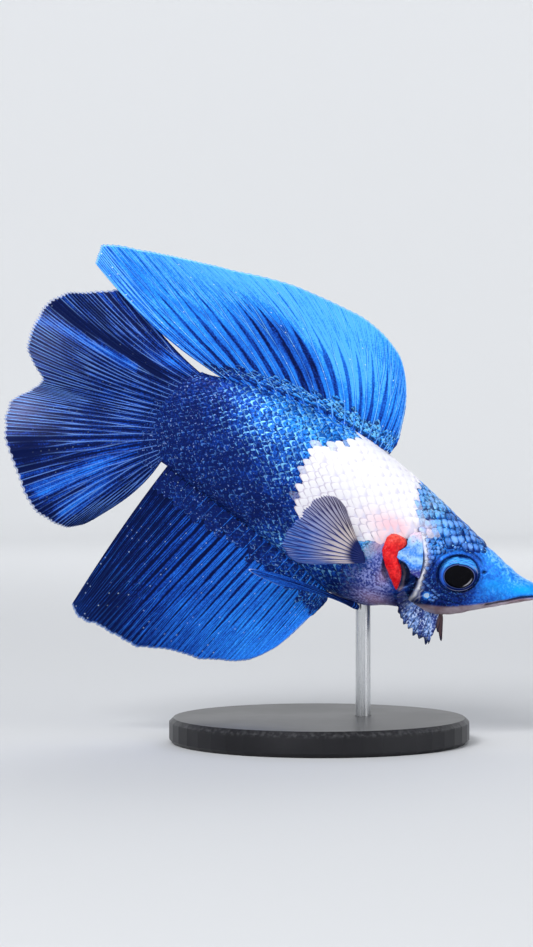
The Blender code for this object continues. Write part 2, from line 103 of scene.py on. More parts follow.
def to_world(points):
    """Fish-frame millimetres to the model's metres, with the spine's sway."""
    bent = np.array(points, float)
    bent[..., 1] += sway(bent[..., 0])
    return bent @ turn.T * MM + fish_at


print("the point between the eyes stands at", np.round(between_eyes * 1000, 2), "mm")

# %% [markdown]
# ## Small helpers
#
# A few tools do most of the work. smooth_through draws a curve through some given values without
# overshooting them; hill, bump and ramp make soft masks; and new_net adds Blender's Grid primitive, the
# flat net of squares that we will fold into skin and fins.


# %% Curves and masks
def smooth_through(knots, values, at):
    """A curve through the knots that never overshoots them, for a whole array at once."""
    knots, values = np.asarray(knots, float), np.asarray(values, float)
    steps = np.diff(knots)
    rises = np.diff(values) / steps
    wide, narrow = 2 * steps[1:] + steps[:-1], steps[1:] + 2 * steps[:-1]
    turning = rises[:-1] * rises[1:] <= 0
    before, after = np.where(turning, 1.0, rises[:-1]), np.where(turning, 1.0, rises[1:])
    inner = (wide + narrow) / (wide / before + narrow / after)
    slopes = np.concatenate([rises[:1], np.where(turning, 0.0, inner), rises[-1:]])
    at = np.clip(at, knots[0], knots[-1])
    i = np.clip(np.searchsorted(knots, at, side="right") - 1, 0, len(steps) - 1)
    t = (at - knots[i]) / steps[i]
    return (
        values[i] * (1 + 2 * t) * (1 - t) ** 2
        + slopes[i] * steps[i] * t * (1 - t) ** 2
        + values[i + 1] * t * t * (3 - 2 * t)
        + slopes[i + 1] * steps[i] * t * t * (t - 1)
    )


def table_at(table, share):
    """Each column of a table, read smoothly at a share of its length."""
    rows = np.arange(len(table))
    return [smooth_through(rows, column, share * (len(table) - 1)) for column in zip(*table)]


def ramp(low, high, at):
    """0 below low, 1 above high, smooth between."""
    t = np.clip((at - low) / (high - low), 0, 1)
    return t * t * (3 - 2 * t)


def between(start, end, share):
    return start + (end - start) * share


def hill(away, width):
    """1 where away is 0, falling softly on both sides."""
    return np.exp(-((away / width) ** 2))


def turned(x, z, at, degrees):
    """Places as seen from a point, along and across a direction that is tilted up by so many degrees."""
    c, s = math.cos(math.radians(degrees)), math.sin(math.radians(degrees))
    dx, dz = x - at[0], z - at[1]
    return dx * c + dz * s, dz * c - dx * s


def bump(x, z, at, size, tilt=0.0):
    """A soft round spot, 1 at its middle."""
    along, across = turned(x, z, at, tilt)
    return np.exp(-((along / size[0]) ** 2) - (across / size[1]) ** 2)


def oval(x, z, at, size):
    """Squared distance from a point, 1 on the oval of this size."""
    return ((x - at[0]) / size[0]) ** 2 + ((z - at[1]) / size[1]) ** 2


def squared_distance(x, z, path):
    """From each place to the nearest point of a line through (x, z) points, squared."""
    nearest = np.full(np.shape(x), 1e9)
    for (ax, az), (bx, bz) in zip(path, path[1:]):
        length = (bx - ax) ** 2 + (bz - az) ** 2
        t = np.clip(((x - ax) * (bx - ax) + (z - az) * (bz - az)) / length, 0, 1)
        nearest = np.minimum(nearest, (x - ax - t * (bx - ax)) ** 2 + (z - az - t * (bz - az)) ** 2)
    return nearest


def near_path(x, z, path, width):
    """A soft mask along a line of (x, z) points."""
    return np.exp(-squared_distance(x, z, path) / width**2)


def inside(x, z, outline, soft):
    """A soft mask inside a closed outline of (x, z) points."""
    closed = outline + outline[:1]
    within = np.zeros(np.shape(x), bool)
    for (ax, az), (bx, bz) in zip(closed, closed[1:]):
        crosses = (az > z) != (bz > z)
        level = (z - az) / np.where(bz == az, 1e-9, bz - az)
        within ^= crosses & (x < ax + level * (bx - ax))
    signed = np.where(within, 1, -1) * np.sqrt(squared_distance(x, z, closed))
    return ramp(-soft, soft, signed)


GRAIN_WAVES = 7


def grain(*places, seed=0):
    """Smooth waves of many lengths that look random but are the same on every run."""
    draw = np.random.default_rng(seed)
    total = 0.0
    for _ in range(GRAIN_WAVES):
        phase = draw.uniform(0, 2 * math.pi)
        for place in places:
            phase = phase + place * draw.uniform(0.6, 2.4) * draw.choice([-1, 1])
        total = total + np.sin(phase)
    return total / 4


print("a curve through 0, 1, 0 reads", smooth_through([0, 1, 2], [0, 1, 0], np.array([0.5])), "halfway up")

# %% Nets
MERGE_GAP = 0.002 * MM
SLIVER = 1e-7


def deselect_all():
    if bpy.context.mode != "OBJECT":
        bpy.ops.object.mode_set(mode="OBJECT")
    bpy.ops.object.select_all(action="DESELECT")


def pick_only(piece):
    deselect_all()
    piece.select_set(True)
    bpy.context.view_layer.objects.active = piece


@contextmanager
def edit_mode(piece):
    """Edit Mode on one piece, with all of it selected."""
    pick_only(piece)
    bpy.ops.object.mode_set(mode="EDIT")
    bpy.ops.mesh.select_all(action="SELECT")
    yield
    bpy.ops.object.mode_set(mode="OBJECT")


def knots_of(piece):
    """The vertices' places as an array."""
    flat = np.empty(len(piece.data.vertices) * 3)
    piece.data.vertices.foreach_get("co", flat)
    return flat.reshape(-1, 3)


def new_net(name, across, along):
    """The Grid primitive with its own UV map, and each knot's two shares of the net."""
    deselect_all()
    bpy.ops.mesh.primitive_grid_add(x_subdivisions=across, y_subdivisions=along, size=1, location=(0, 0, 0))
    net = bpy.context.object
    net.name = net.data.name = name
    net.data.uv_layers[0].name = "OFBake"
    u, v = knots_of(net)[:, :2].T + 0.5
    return net, u, v


def put(piece, points):
    """Moves every vertex to its place, given in fish-frame millimetres."""
    piece.data.vertices.foreach_set("co", to_world(points).ravel())
    piece.data.update()


def tag(piece, **values):
    """Stores numbers at each vertex, under their names, for the materials to read."""
    for name, numbers in values.items():
        layer = piece.data.attributes.new(name, "FLOAT", "POINT")
        layer.data.foreach_set("value", np.asarray(numbers, np.float32))


def close_seams(piece):
    """Merges the knots that meet, and points every face outwards."""
    with edit_mode(piece):
        bpy.ops.mesh.remove_doubles(threshold=MERGE_GAP)
        bpy.ops.mesh.dissolve_degenerate(threshold=SLIVER)
        bpy.ops.mesh.normals_make_consistent(inside=False)
        if bmesh.from_edit_mesh(piece.data).calc_volume(signed=True) < 0:
            bpy.ops.mesh.flip_normals()
    bpy.ops.object.shade_smooth()


def settle(piece, material, slot, *nodes):
    """Gives a finished piece its material, hangs it under the root and hides the solids that it stands for.
    """
    piece.data.materials.clear()
    piece.data.materials.append(material)
    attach(piece, "root")
    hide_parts(*nodes)
    faces = sum(len(p.vertices) - 2 for p in piece.data.polygons)
    print(f"{piece.name}: {len(piece.data.vertices)} vertices, {faces} triangles")


print("helpers ready; knots closer than", MERGE_GAP / MM, "mm will be merged")

# %% [markdown]
# ## The form of the body
#
# A fish's body is a row of ovals. Fifteen stations along the spine say how high the back and how low the
# belly stand, how wide the body is, and how boxy the oval. Everything that lies on the body, its skin and
# every single scale, is placed by one function: give it a place along the body and a place around it, and
# it answers with a point of the surface.

# %% Body stations
BODY_STATIONS = [  # x, back, belly, half width, level of the widest line, boxiness
    (-37.4, 7.3, -4.9, 1.15, 1.2, 2.0),
    (-33.0, 8.4, -5.7, 2.0, 1.2, 2.0),
    (-27.0, 9.4, -6.6, 3.25, 1.0, 2.05),
    (-22.0, 9.6, -7.4, 4.05, 0.7, 2.1),
    (-17.0, 9.3, -8.3, 4.6, 0.2, 2.15),
    (-12.0, 8.35, -9.5, 4.8, -0.4, 2.15),
    (-8.0, 7.25, -8.95, 4.65, -0.8, 2.2),
    (-5.0, 6.4, -7.5, 4.35, -0.8, 2.25),
    (-2.0, 5.5, -6.7, 3.8, -0.6, 2.3),
    (1.0, 4.6, -5.55, 3.2, -0.2, 2.3),
    (4.0, 3.75, -3.25, 2.65, 0.4, 2.2),
    (7.0, 2.95, -0.85, 2.0, 1.1, 2.1),
    (9.2, 2.85, 0.95, 1.45, 1.9, 2.0),
    (10.0, 2.6, 1.6, 0.85, 2.1, 2.0),
    (10.3, 2.2, 2.0, 0.0, 2.1, 2.0),
]
TAIL_BASE_X = BODY_STATIONS[0][0]
SNOUT_TIP_X = BODY_STATIONS[-1][0]
TAIL_FLESH = 3.4  # how far the flesh runs out over the root of the tail fin at its middle
TAIL_FLESH_EDGE = 0.6  # and how far at its upper and lower ends
TAIL_MIDDLE_Z, TAIL_HALF_HEIGHT = 1.2, 6.2
TAIL_THINNEST = 0.12  # what is left of the body's width where the flesh ends
EVEN_XS = np.linspace(TAIL_BASE_X - TAIL_FLESH, SNOUT_TIP_X, 240)
EVEN_SHARES = np.linspace(0, 1, 65)


def station(x):
    """Back, belly, half width, widest level and boxiness at each x."""
    columns = list(zip(*BODY_STATIONS))
    return [smooth_through(columns[0], column, x) for column in columns[1:]]


def plain_body(x, angle):
    """A point of the oval at x: angle 0 is the back, a quarter turn the left flank."""
    back, belly, half, level, boxy = station(x)
    side, up = np.sin(angle), np.cos(angle)
    y = np.sign(side) * np.abs(side) ** (2 / boxy) * half
    reach = np.where(up > 0, back - level, level - belly)
    z = level + np.sign(up) * np.abs(up) ** (2 / boxy) * reach
    past = np.clip((TAIL_BASE_X - x) / TAIL_FLESH, 0, 1)
    middle = 1 - ((z - TAIL_MIDDLE_Z) / TAIL_HALF_HEIGHT) ** 2
    flesh = between(TAIL_FLESH_EDGE, TAIL_FLESH, middle)
    thin = TAIL_THINNEST + (1 - TAIL_THINNEST) * (1 - past) ** 0.8
    x = np.where(past > 0, TAIL_BASE_X - past * flesh, x)
    y = y * np.where(past > 0, thin, 1) * np.where(past > 0.999, 0, 1)
    return np.stack([x, y, z], axis=-1)


def arc_lengths(points):
    """Length from the first point to each of the others, along the line through them."""
    return np.concatenate([[0], np.cumsum(np.linalg.norm(np.diff(points, axis=0), axis=1))])


def even_angles():
    """Angles that divide each oval evenly by length, so that scales don't crowd at the back and belly."""
    fine = np.linspace(0, math.pi, 361)
    found = []
    for x in EVEN_XS:
        length = arc_lengths(plain_body(np.full_like(fine, max(x, TAIL_BASE_X)), fine))
        found.append(np.interp(EVEN_SHARES, length / max(length[-1], 1e-9), fine))
    return np.array(found)


ANGLES = even_angles()


def angle_at(x, around):
    """around runs from -1, the belly line, over the right flank, 0, the back, to 1, the belly again."""
    column = np.clip((x - EVEN_XS[0]) / (EVEN_XS[1] - EVEN_XS[0]), 0, len(EVEN_XS) - 1.001)
    row = np.clip(np.abs(around), 0, 1) * (len(EVEN_SHARES) - 1)
    row = np.minimum(row, len(EVEN_SHARES) - 1.001)
    i, j = column.astype(int), row.astype(int)
    a, b = column - i, row - j
    low = ANGLES[i, j] * (1 - b) + ANGLES[i, j + 1] * b
    high = ANGLES[i + 1, j] * (1 - b) + ANGLES[i + 1, j + 1] * b
    return np.sign(around) * (low * (1 - a) + high * a)


print("half way round at the shoulder is", np.linalg.norm(plain_body(-14.0, math.pi / 2)), "mm out")

# %% [markdown]
# ## Sculpting the head
#
# The ovals give the form but no face. The features are modelled as soft pushes in and out: the orbit
# round the eye, the nostrils, lips parted by the mouth line, the cheek that ends in the stiff edge of the
# gill cover, and the hollow behind that edge where the gill shows. Each is a mask drawn in side view, the
# same on both sides of the fish.

# %% Head features
EYE_TILT = 28.0
EYE_BOXINESS = 3.4
ORBIT = (2.5, 2.28)
COAT_DEPTH = 0.12
MOUTH_PATH = [(4.6, -1.9), (6.2, -0.55), (7.8, 0.85), (9.2, 1.7), (10.4, 2.1)]
CHEEK_CREASE = [(-2.9, 2.6), (-3.4, 0.4), (-2.7, -2.4), (-0.8, -3.7), (2.0, -3.2)]
COVER_EDGE_Z = [-8.0, -6.6, -5.3, -3.8, -2.6, -1.2, 0.2, 1.5, 2.8, 4.2, 6.5, 9.0]
COVER_EDGE_X = [-5.3, -4.6, -4.05, -3.85, -4.0, -4.4, -4.9, -5.6, -6.5, -7.2, -8.5, -9.5]
HOLLOW_AT = (-6.6, -1.6)
HOLLOW_SIZE = (2.75, 3.3)
HOLLOW_REAR = 2.35  # its reach behind the middle, where the gill's rear edge lies on the skin
HOLLOW_DEPTH = 1.25
NOSTRIL_AT, NOSTRIL_SIZE = (2.6, 1.75), (0.26, 0.2)


def orbit_share(x, z):
    """Distance from the eye's middle, 1 at the orbit, and the height above the eye's tilted long axis."""
    along, above = turned(x, z, EYE_AT[::2], EYE_TILT)
    return np.sqrt((along / ORBIT[0]) ** 2 + (above / ORBIT[1]) ** 2), above


def behind_cover(x, z):
    """How far a place lies behind the gill cover's edge."""
    return smooth_through(COVER_EDGE_Z, COVER_EDGE_X, z) - x


def eye_height(r):
    """How far the flattened eyeball stands out at a share of its radius."""
    return (1 - r**EYE_BOXINESS) ** (1 / EYE_BOXINESS)


def beside_mouth(x, z, rise, width):
    return near_path(x, z, [(px, pz + rise) for px, pz in MOUTH_PATH[1:]], width)


def sculpt(points):
    """Pushes the plain form in and out to make the features of the head."""
    x, y, z = points[..., 0], points[..., 1], points[..., 2]
    side, out = np.sign(y), np.abs(y)
    facing = ramp(0.8, 2.0, out)
    r, above = orbit_share(x, z)
    push = 0.15 * hill(r - 1.1, 0.1) - 0.10 * hill(r - 1.26, 0.05) * ramp(-1.2, 1.4, above)
    push = push * facing
    back = behind_cover(x, z)
    level = ramp(-7.6, -6.0, z) * (1 - ramp(2.4, 3.8, z)) * facing
    fore = ramp(0.1, -0.1, back)
    lip = 0.38 * np.exp(-np.clip(-back, 0, 9) / 0.9) * fore
    push += level * (lip - 0.25 * np.exp(-np.clip(back, 0, 9) / 0.5) * (1 - fore))
    push -= 0.45 * bump(x, z, NOSTRIL_AT, NOSTRIL_SIZE, 30) * facing
    push += 0.14 * bump(x, z, NOSTRIL_AT, (0.6, 0.5), 30) * facing
    push -= 0.32 * near_path(x, z, MOUTH_PATH, 0.17)
    push += 0.14 * beside_mouth(x, z, 0.42, 0.3)
    push += 0.10 * beside_mouth(x, z, -0.42, 0.26)
    push -= 0.10 * near_path(x, z, CHEEK_CREASE, 0.16) * facing
    push += 0.10 * bump(x, z, (3.4, 0.2), (1.6, 0.7), 32) * facing
    push += 0.05 * grain(x * 1.7, z * 1.9, seed=3) * ramp(-9, -6, x)
    _, _, half, widest, _ = station(x)
    ring = np.stack([np.zeros_like(x), y / np.maximum(half, 0.3), (z - widest) / 6.0], axis=-1)
    length = np.maximum(np.linalg.norm(ring, axis=-1, keepdims=True), 1e-6)
    moved = points + ring / length * (push - COAT_DEPTH * ramp(8.0, 2.0, x))[..., None]
    reach = np.where(x < HOLLOW_AT[0], HOLLOW_REAR, HOLLOW_SIZE[0])
    hollow = ramp(1.0, 0.5, oval(x, z, HOLLOW_AT, (reach, HOLLOW_SIZE[1]))) * (out > 1.5)
    moved[..., 1] -= side * HOLLOW_DEPTH * hollow
    in_orbit = ramp(1.02, 0.9, r) * (out > 1.2)
    under_eye = EYE_AT[1] + EYE_RADII[1] * eye_height(np.clip(r, 0, 1)) - 0.45
    floor = side * np.minimum(np.abs(moved[..., 1]), under_eye)
    moved[..., 1] = moved[..., 1] * (1 - in_orbit) + floor * in_orbit
    return moved


def body_at(x, around):
    return sculpt(plain_body(x, angle_at(x, around)))


def unit(vectors):
    return vectors / np.maximum(np.linalg.norm(vectors, axis=-1, keepdims=True), 1e-9)


def body_normal(x, around):
    """The surface's outward direction, from its slopes along and around."""
    step_x, step_a = 0.12, 0.004
    along = body_at(x + step_x, around) - body_at(x - step_x, around)
    across = body_at(x, around + step_a) - body_at(x, around - step_a)
    return unit(np.cross(along, across))


print("the right flank faces", np.round(body_normal(np.array([-14.0]), np.array([-0.5])), 2))

# %% [markdown]
# ## Markings
#
# This betta is royal blue, darkest on the tail stalk and along the belly and brightest high on the flank,
# with one clean white band behind the head, a lavender breast and a flush of pink beside the gill. The
# skin and the scales above it must agree, so both ask the same functions, with a place on the fish in
# side view, how much of each colour lies there. A little grain breaks the borders, as the scale edges do
# on the fish.

# %% Marking masks
# Outlines and lines are drawn in side view, as x and z in millimetres.
WHITE_BAND = [
    (-21.9, 5.9), (-21.2, 6.6), (-19.9, 7.0), (-18.6, 7.8), (-17.6, 8.6), (-17.2, 12.0), (-9.2, 12.0),
    (-9.0, 7.8), (-8.6, 6.4), (-7.6, 4.5), (-6.7, 3.2), (-6.2, 2.2), (-7.0, 0.9), (-8.2, 0.9), (-9.2, 0.3),
    (-10.3, -0.5), (-11.6, -1.5), (-13.6, -2.4), (-16.0, -3.2), (-18.4, -3.2), (-20.6, -1.6), (-21.2, 0.6),
    (-21.9, 3.0),
]
NAPE_PATCH = [(-8.0, 4.6), (-5.3, 4.6), (-4.7, 3.6), (-5.4, 2.4), (-6.6, 2.4)]
TUFT_AT, TUFT_SIZE = (-12.6, -3.4), (0.85, 1.4)
CHEEK_SPOT_AT = (-2.2, -3.8)
BREAST = [
    (-10.4, 0.4), (-8.8, -2.0), (-6.6, -4.6), (-5.6, -5.8), (-5.4, -12.0), (-12.8, -12.0), (-13.6, -6.8),
    (-13.0, -3.4), (-11.6, -2.0),
]
BLUE_PATCH_AT = (-11.0, -1.9)
PINK_SPOTS = [  # where, how far, how strong
    ((-10.9, 1.6), (2.4, 1.4), 0.6), ((-9.0, 2.2), (1.9, 0.9), 0.9), ((-10.2, -0.6), (0.7, 1.3), 0.8),
    ((-5.9, 3.2), (0.7, 0.6), 0.6), ((-7.2, -7.4), (2.0, 1.0), 0.45), ((-7.9, -4.0), (0.7, 1.2), 0.3),
]
BROWN_FOLD = [(-6.5, -1.9), (-5.7, -2.7), (-5.3, -4.0), (-5.4, -4.6)]
SLITS = [(-7.0, -1.4), (-6.1, -1.5), (-5.3, -2.2), (-4.8, -3.4), (-5.2, -4.7), (-5.7, -3.7), (-6.3, -2.6)]
JAW_XS = [-4.5, -2.0, 0.8, 4.3, 7.0, 9.0, 11.0]
JAW_ZS = [-5.8, -5.1, -4.0, -1.75, 0.2, 1.45, 2.1]
# How blue the flank is from the tail to the head, high up and low down.
TONE_XS = [-41.0, -37.0, -34.0, -30.0, -26.0, -22.0, -18.0, -12.0, -6.0, 0.0]
TONE_HIGH = [0.0, 0.03, 0.28, 0.60, 0.76, 0.84, 0.92, 0.86, 0.80, 0.62]
TONE_LOW = [0.0, 0.0, 0.0, 0.02, 0.03, 0.09, 0.28, 0.24, 0.16, 0.12]


def tuft_at(x, z):
    """The dark muscle from which the pectoral fin grows."""
    return np.clip(1.5 * bump(x, z, TUFT_AT, TUFT_SIZE, -25), 0, 1)


def white_at(x, z):
    band = inside(x + 0.25 * grain(z * 3.1, x * 0.7, seed=5), z, WHITE_BAND, 0.22)
    patch = inside(x, z, NAPE_PATCH, 0.5) * np.clip(0.55 + 0.5 * grain(x * 3.3, z * 3.9, seed=7), 0, 0.9)
    return np.maximum(band, patch) * (1 - tuft_at(x, z))


def edges_at(x, z):
    """How clearly the white band's scales are outlined in painted shade: faint above, in full light, plain
    beside the fin and gill.
    """
    return 0.15 + 0.85 * ramp(6.0, 0.0, z + 0.2 * (x + 14))


def pink_at(x, z):
    total = sum(strength * bump(x, z, at, size) for at, size, strength in PINK_SPOTS)
    return np.clip(total, 0, 1)


def breast_at(x, z):
    chest = inside(x + 0.2 * grain(z * 2.3, seed=6), z, BREAST, 0.5) * (1 - white_at(x, z))
    off_patch = 1 - 0.6 * bump(x, z, BLUE_PATCH_AT, (1.3, 1.6))
    return chest * (1 - tuft_at(x, z)) * off_patch * ramp(-13.0, -9.6, x + 0.25 * z + 1.5)


def tone_at(x, z):
    """0 is navy, 1 is azure."""
    high = smooth_through(TONE_XS, TONE_HIGH, x)
    low = smooth_through(TONE_XS, TONE_LOW, x)
    rear = ramp(-16.0, -22.0, x)
    tone = between(low, high, ramp(-6.0 + 3.5 * rear, 5.0 + 2.5 * rear, z + 0.12 * (x + 25)))
    tone = tone + 0.30 * bump(x, z, (-21.5, -6.4), (3.6, 1.6))
    tone = tone + 0.05 * grain(x * 0.5, z * 0.6, seed=8)
    snout = ramp(1.6, 4.6, x + 0.4 * z) * ramp(-1.4, 0.6, z - 0.35 * (x - 5))
    # Painted sheen: the head is made paler along its top edge.
    crown = ramp(-1.6, -0.3, z - station(x)[0]) * ramp(-1.0, 1.5, x)
    tone = tone * (1 - snout) + (0.74 + 0.05 * grain(x * 3.1, z * 3.7, seed=9)) * snout + 0.18 * crown
    cheek = ramp(-5.4, -4.2, x) * ramp(3.4, 1.6, x) * ramp(1.8, -0.4, z)
    tone = tone * (1 - 0.8 * cheek) * (1 - 0.9 * tuft_at(x, z))
    nape = 0.38 * bump(x, z, (-6.6, 5.8), (2.0, 1.8))
    patch = 0.85 * bump(x, z, BLUE_PATCH_AT, (1.1, 1.5))
    cheek_spot = 2.2 * bump(x, z, CHEEK_SPOT_AT, (0.55, 0.5)) ** 2
    return np.clip(tone + nape + patch + cheek_spot, 0, 1.5)


def jaw_at(x, z):
    """The brownish-pink band along the lower jaw, and the brown fold behind the gill cover."""
    band = ramp(0.22, -0.22, z - smooth_through(JAW_XS, JAW_ZS, x)) * ramp(-5.0, -3.4, x)
    return np.maximum(band, 0.9 * near_path(x, z, BROWN_FOLD, 0.26))


def cyan_at(x, z):
    """The brightest spot of the upper lip, and the glow along the top of the snout."""
    glow = 0.5 * bump(x, z, (4.4, 1.0), (1.6, 0.7), 30)
    return np.clip(bump(x, z, (7.6, 1.9), (2.0, 0.6), 30) + glow, 0, 1)


def silver_at(x, z):
    """The pale rim of the gill cover, and two fine wrinkles that follow it low down."""
    back = behind_cover(x, z)
    waver = 0.06 * grain(z * 3.1, seed=12)
    high = ramp(-2.0, 0.5, z)
    rim = hill(back + 0.34 + 0.14 * high + waver, 0.24 + 0.22 * high) * ramp(3.6, 2.8, z)
    wrinkles = hill(back + 0.85 + 2 * waver, 0.09) * ramp(-2.4, -3.8, z) * 0.5
    wrinkles = wrinkles + hill(back + 1.2 - 3 * waver, 0.07) * ramp(-3.4, -4.6, z) * 0.4
    worn = np.clip(0.95 + 0.3 * grain(z * 2.6, x * 2.0, seed=13), 0.35, 1)
    return (rim + wrinkles) * ramp(-6.8, -5.8, z) * worn


def shade_at(x, z):
    """Painted shade in creases and hollows: behind the gill cover, round the eye, in the nostril, throat,
    mouth and gill slits.
    """
    crease = hill(behind_cover(x, z) - 0.16, 0.15) * ramp(-6.6, -5.6, z) * ramp(3.4, 2.4, z)
    r, above = orbit_share(x, z)
    groove = hill(r - 1.25, 0.045) * 0.8 * ramp(0.2, 1.6, above) + hill(r - 1.01, 0.05)
    groove = groove + 0.45 * hill(r - 1.42, 0.04) * ramp(0.6, 1.8, above)
    nostril = 1.2 * bump(x, z, NOSTRIL_AT, NOSTRIL_SIZE, 30)
    throat = 0.9 * bump(x, z, (-2.9, -5.2), (1.2, 0.6), 10) + 0.7 * bump(x, z, (-4.6, -3.4), (0.5, 1.6), 25)
    mouth = 0.9 * near_path(x, z, MOUTH_PATH, 0.12)
    slits = inside(x, z, SLITS, 0.2) * (1 - 0.8 * near_path(x, z, BROWN_FOLD, 0.17))
    return np.clip(crease + groove + nostril + throat + mouth + slits, 0, 1)


MASKS = dict(
    edges=edges_at, pink=pink_at, breast=breast_at, tone=tone_at, jaw=jaw_at, cyan=cyan_at, silver=silver_at,
    shade=shade_at,
)


def mark(piece, points, whole_points=None, all_blue=False):
    """Stores the markings of these fish-frame points; a scale is white as a whole or not at all."""
    x, z = points[..., 0], points[..., 2]
    whole = points if whole_points is None else whole_points
    tag(piece, white=white_at(whole[..., 0], whole[..., 2]) * (not all_blue))
    tag(piece, **{name: mask(x, z) for name, mask in MASKS.items()})


print("mid white band:", float(white_at(np.array([-14.0]), np.array([3.0]))[0]))

# %% [markdown]
# ## Colours
#
# Betta blue is not a pigment but a structure: plates in the skin throw back light, so it shines like a
# thin metal. A half-metallic surface with a soft gloss gives that. The palette runs from navy to azure,
# and one node group turns the stored masks into colour and roughness, so that skin and scales can't drift
# apart.

# %% Node helpers
NAVY = (0.003, 0.012, 0.105, 1)
DEEP_BLUE = (0.006, 0.045, 0.33, 1)
ROYAL = (0.016, 0.14, 0.66, 1)
AZURE = (0.022, 0.28, 0.94, 1)
PALE_AZURE = (0.13, 0.50, 0.97, 1)
WHITE = (0.81, 0.80, 0.84, 1)
PINK = (0.86, 0.50, 0.58, 1)
JAW_PINK = (0.22, 0.14, 0.16, 1)
JAW_PALE = (0.46, 0.38, 0.44, 1)
CYAN = (0.005, 0.36, 0.98, 1)
SILVER = (0.80, 0.80, 0.86, 1)
# A near-black that serves as painted shade in creases and along the scales' edges, and as the real dark of
# the beard's rays and hem.
INK_AND_SHADE = (0.003, 0.006, 0.03, 1)
DEEP_NAVY = (0.0015, 0.006, 0.05, 1)


def socket_name(name):
    return name.replace("_", " ").title()


class Field:
    """A number or colour that varies over a surface. Arithmetic on it adds Math nodes."""

    def __init__(self, net, socket):
        self.net, self.socket = net, socket

    def __add__(self, other):
        return self.net.math("ADD", self, other)

    def __sub__(self, other):
        return self.net.math("SUBTRACT", self, other)

    def __rsub__(self, other):
        return self.net.math("SUBTRACT", other, self)

    def __mul__(self, other):
        return self.net.math("MULTIPLY", self, other)

    def __truediv__(self, other):
        return self.net.math("DIVIDE", self, other)

    def __pow__(self, other):
        return self.net.math("POWER", self, other)

    def __abs__(self):
        return self.net.math("ABSOLUTE", self)


class Net:
    """A short way to write a node tree: each call adds a node and returns what it puts out."""

    def __init__(self, owner, tree, target):
        self.owner, self.tree, self.target = owner, tree, target

    def feed(self, socket, value):
        if isinstance(value, Field):
            self.tree.links.new(value.socket, socket)
        else:
            socket.default_value = value

    def finish(self, **looks):
        """Feeds the shader, or a group's output, by the names of its inputs."""
        for name, value in looks.items():
            self.feed(self.target[socket_name(name)], value)
        return self.owner

    def outputs(self, node):
        return {output.name: Field(self, output) for output in node.outputs}

    def node(self, kind, inputs=(), output=0, **settings):
        """Adds a node, feeds its inputs by number or name, and returns one of its outputs."""
        node = self.tree.nodes.new(kind)
        for name, value in settings.items():
            setattr(node, name, value)
        for name, value in dict(inputs).items():
            self.feed(node.inputs[name], value)
        return Field(self, node.outputs[output])

    def attribute(self, name):
        return self.node("ShaderNodeAttribute", output="Fac", attribute_name=name)

    def attributes(self, *names):
        return [self.attribute(name) for name in names]

    def place(self):
        return self.node("ShaderNodeTexCoord", output="Object")

    def vector(self, x, y):
        return self.node("ShaderNodeCombineXYZ", enumerate((x, y)))

    def math(self, operation, *values, clamp=False):
        return self.node("ShaderNodeMath", enumerate(values), operation=operation, use_clamp=clamp)

    def length(self, a, b):
        return self.math("SQRT", a**2.0 + b**2.0)

    def remap(self, value, low, high, to_low=0.0, to_high=1.0):
        inputs = enumerate((value, low, high, to_low, to_high))
        return self.node("ShaderNodeMapRange", inputs, interpolation_type="SMOOTHSTEP")

    def mix(self, share, a, b):
        return self.node("ShaderNodeMix", {"Factor": share, 6: a, 7: b}, 2, data_type="RGBA")

    def noise(self, scale, detail=2.0, vector=None):
        inputs = {"Scale": scale, "Detail": detail, "Vector": vector or self.place()}
        return self.node("ShaderNodeTexNoise", inputs, "Fac")

    def cells(self, scale):
        return self.node("ShaderNodeTexVoronoi", {"Scale": scale, "Vector": self.place()}, "Distance")

    def ramp(self, value, *stops):
        node = self.tree.nodes.new("ShaderNodeValToRGB")
        ramp_stops = node.color_ramp.elements
        while len(ramp_stops) < len(stops):
            ramp_stops.new(0.5)
        for stop, (at, colour) in zip(ramp_stops, stops):
            stop.position, stop.color = at, colour
        self.feed(node.inputs["Fac"], value)
        return Field(self, node.outputs["Color"])

    def bump(self, height, strength, distance_mm):
        inputs = {"Strength": strength, "Distance": distance_mm * MM, "Height": height}
        return self.node("ShaderNodeBump", inputs, "Normal")

    def group(self, tree, **values):
        """Places a node group with its own values, and returns all that it puts out by name."""
        node = self.tree.nodes.new("ShaderNodeGroup")
        node.node_tree = tree
        for name, value in values.items():
            self.feed(node.inputs[socket_name(name)], value)
        return self.outputs(node)


def new_group(name, inputs, outputs):
    """A node group of plain numbers, except for a socket called Color."""
    tree = bpy.data.node_groups.new(name, "ShaderNodeTree")
    for direction, labels in (("INPUT", inputs), ("OUTPUT", outputs)):
        for label in labels:
            kind = "NodeSocketColor" if label == "Color" else "NodeSocketFloat"
            tree.interface.new_socket(label, in_out=direction, socket_type=kind)
    given = tree.nodes.new("NodeGroupInput") if inputs else None
    net = Net(tree, tree, tree.nodes.new("NodeGroupOutput").inputs)
    return net, net.outputs(given) if inputs else {}


def new_material(name, coat=0.0, coat_roughness=0.1, specular=0.08):
    """A material whose shader keeps these three values over the whole surface."""
    material = bpy.data.materials.new(name)
    material.use_nodes = True
    inputs = material.node_tree.nodes["Principled BSDF"].inputs
    inputs["Coat Weight"].default_value = coat
    inputs["Coat Roughness"].default_value = coat_roughness
    inputs["Specular IOR Level"].default_value = specular
    return Net(material, material.node_tree, inputs)


print("palette: navy to azure, white, pink, silver")


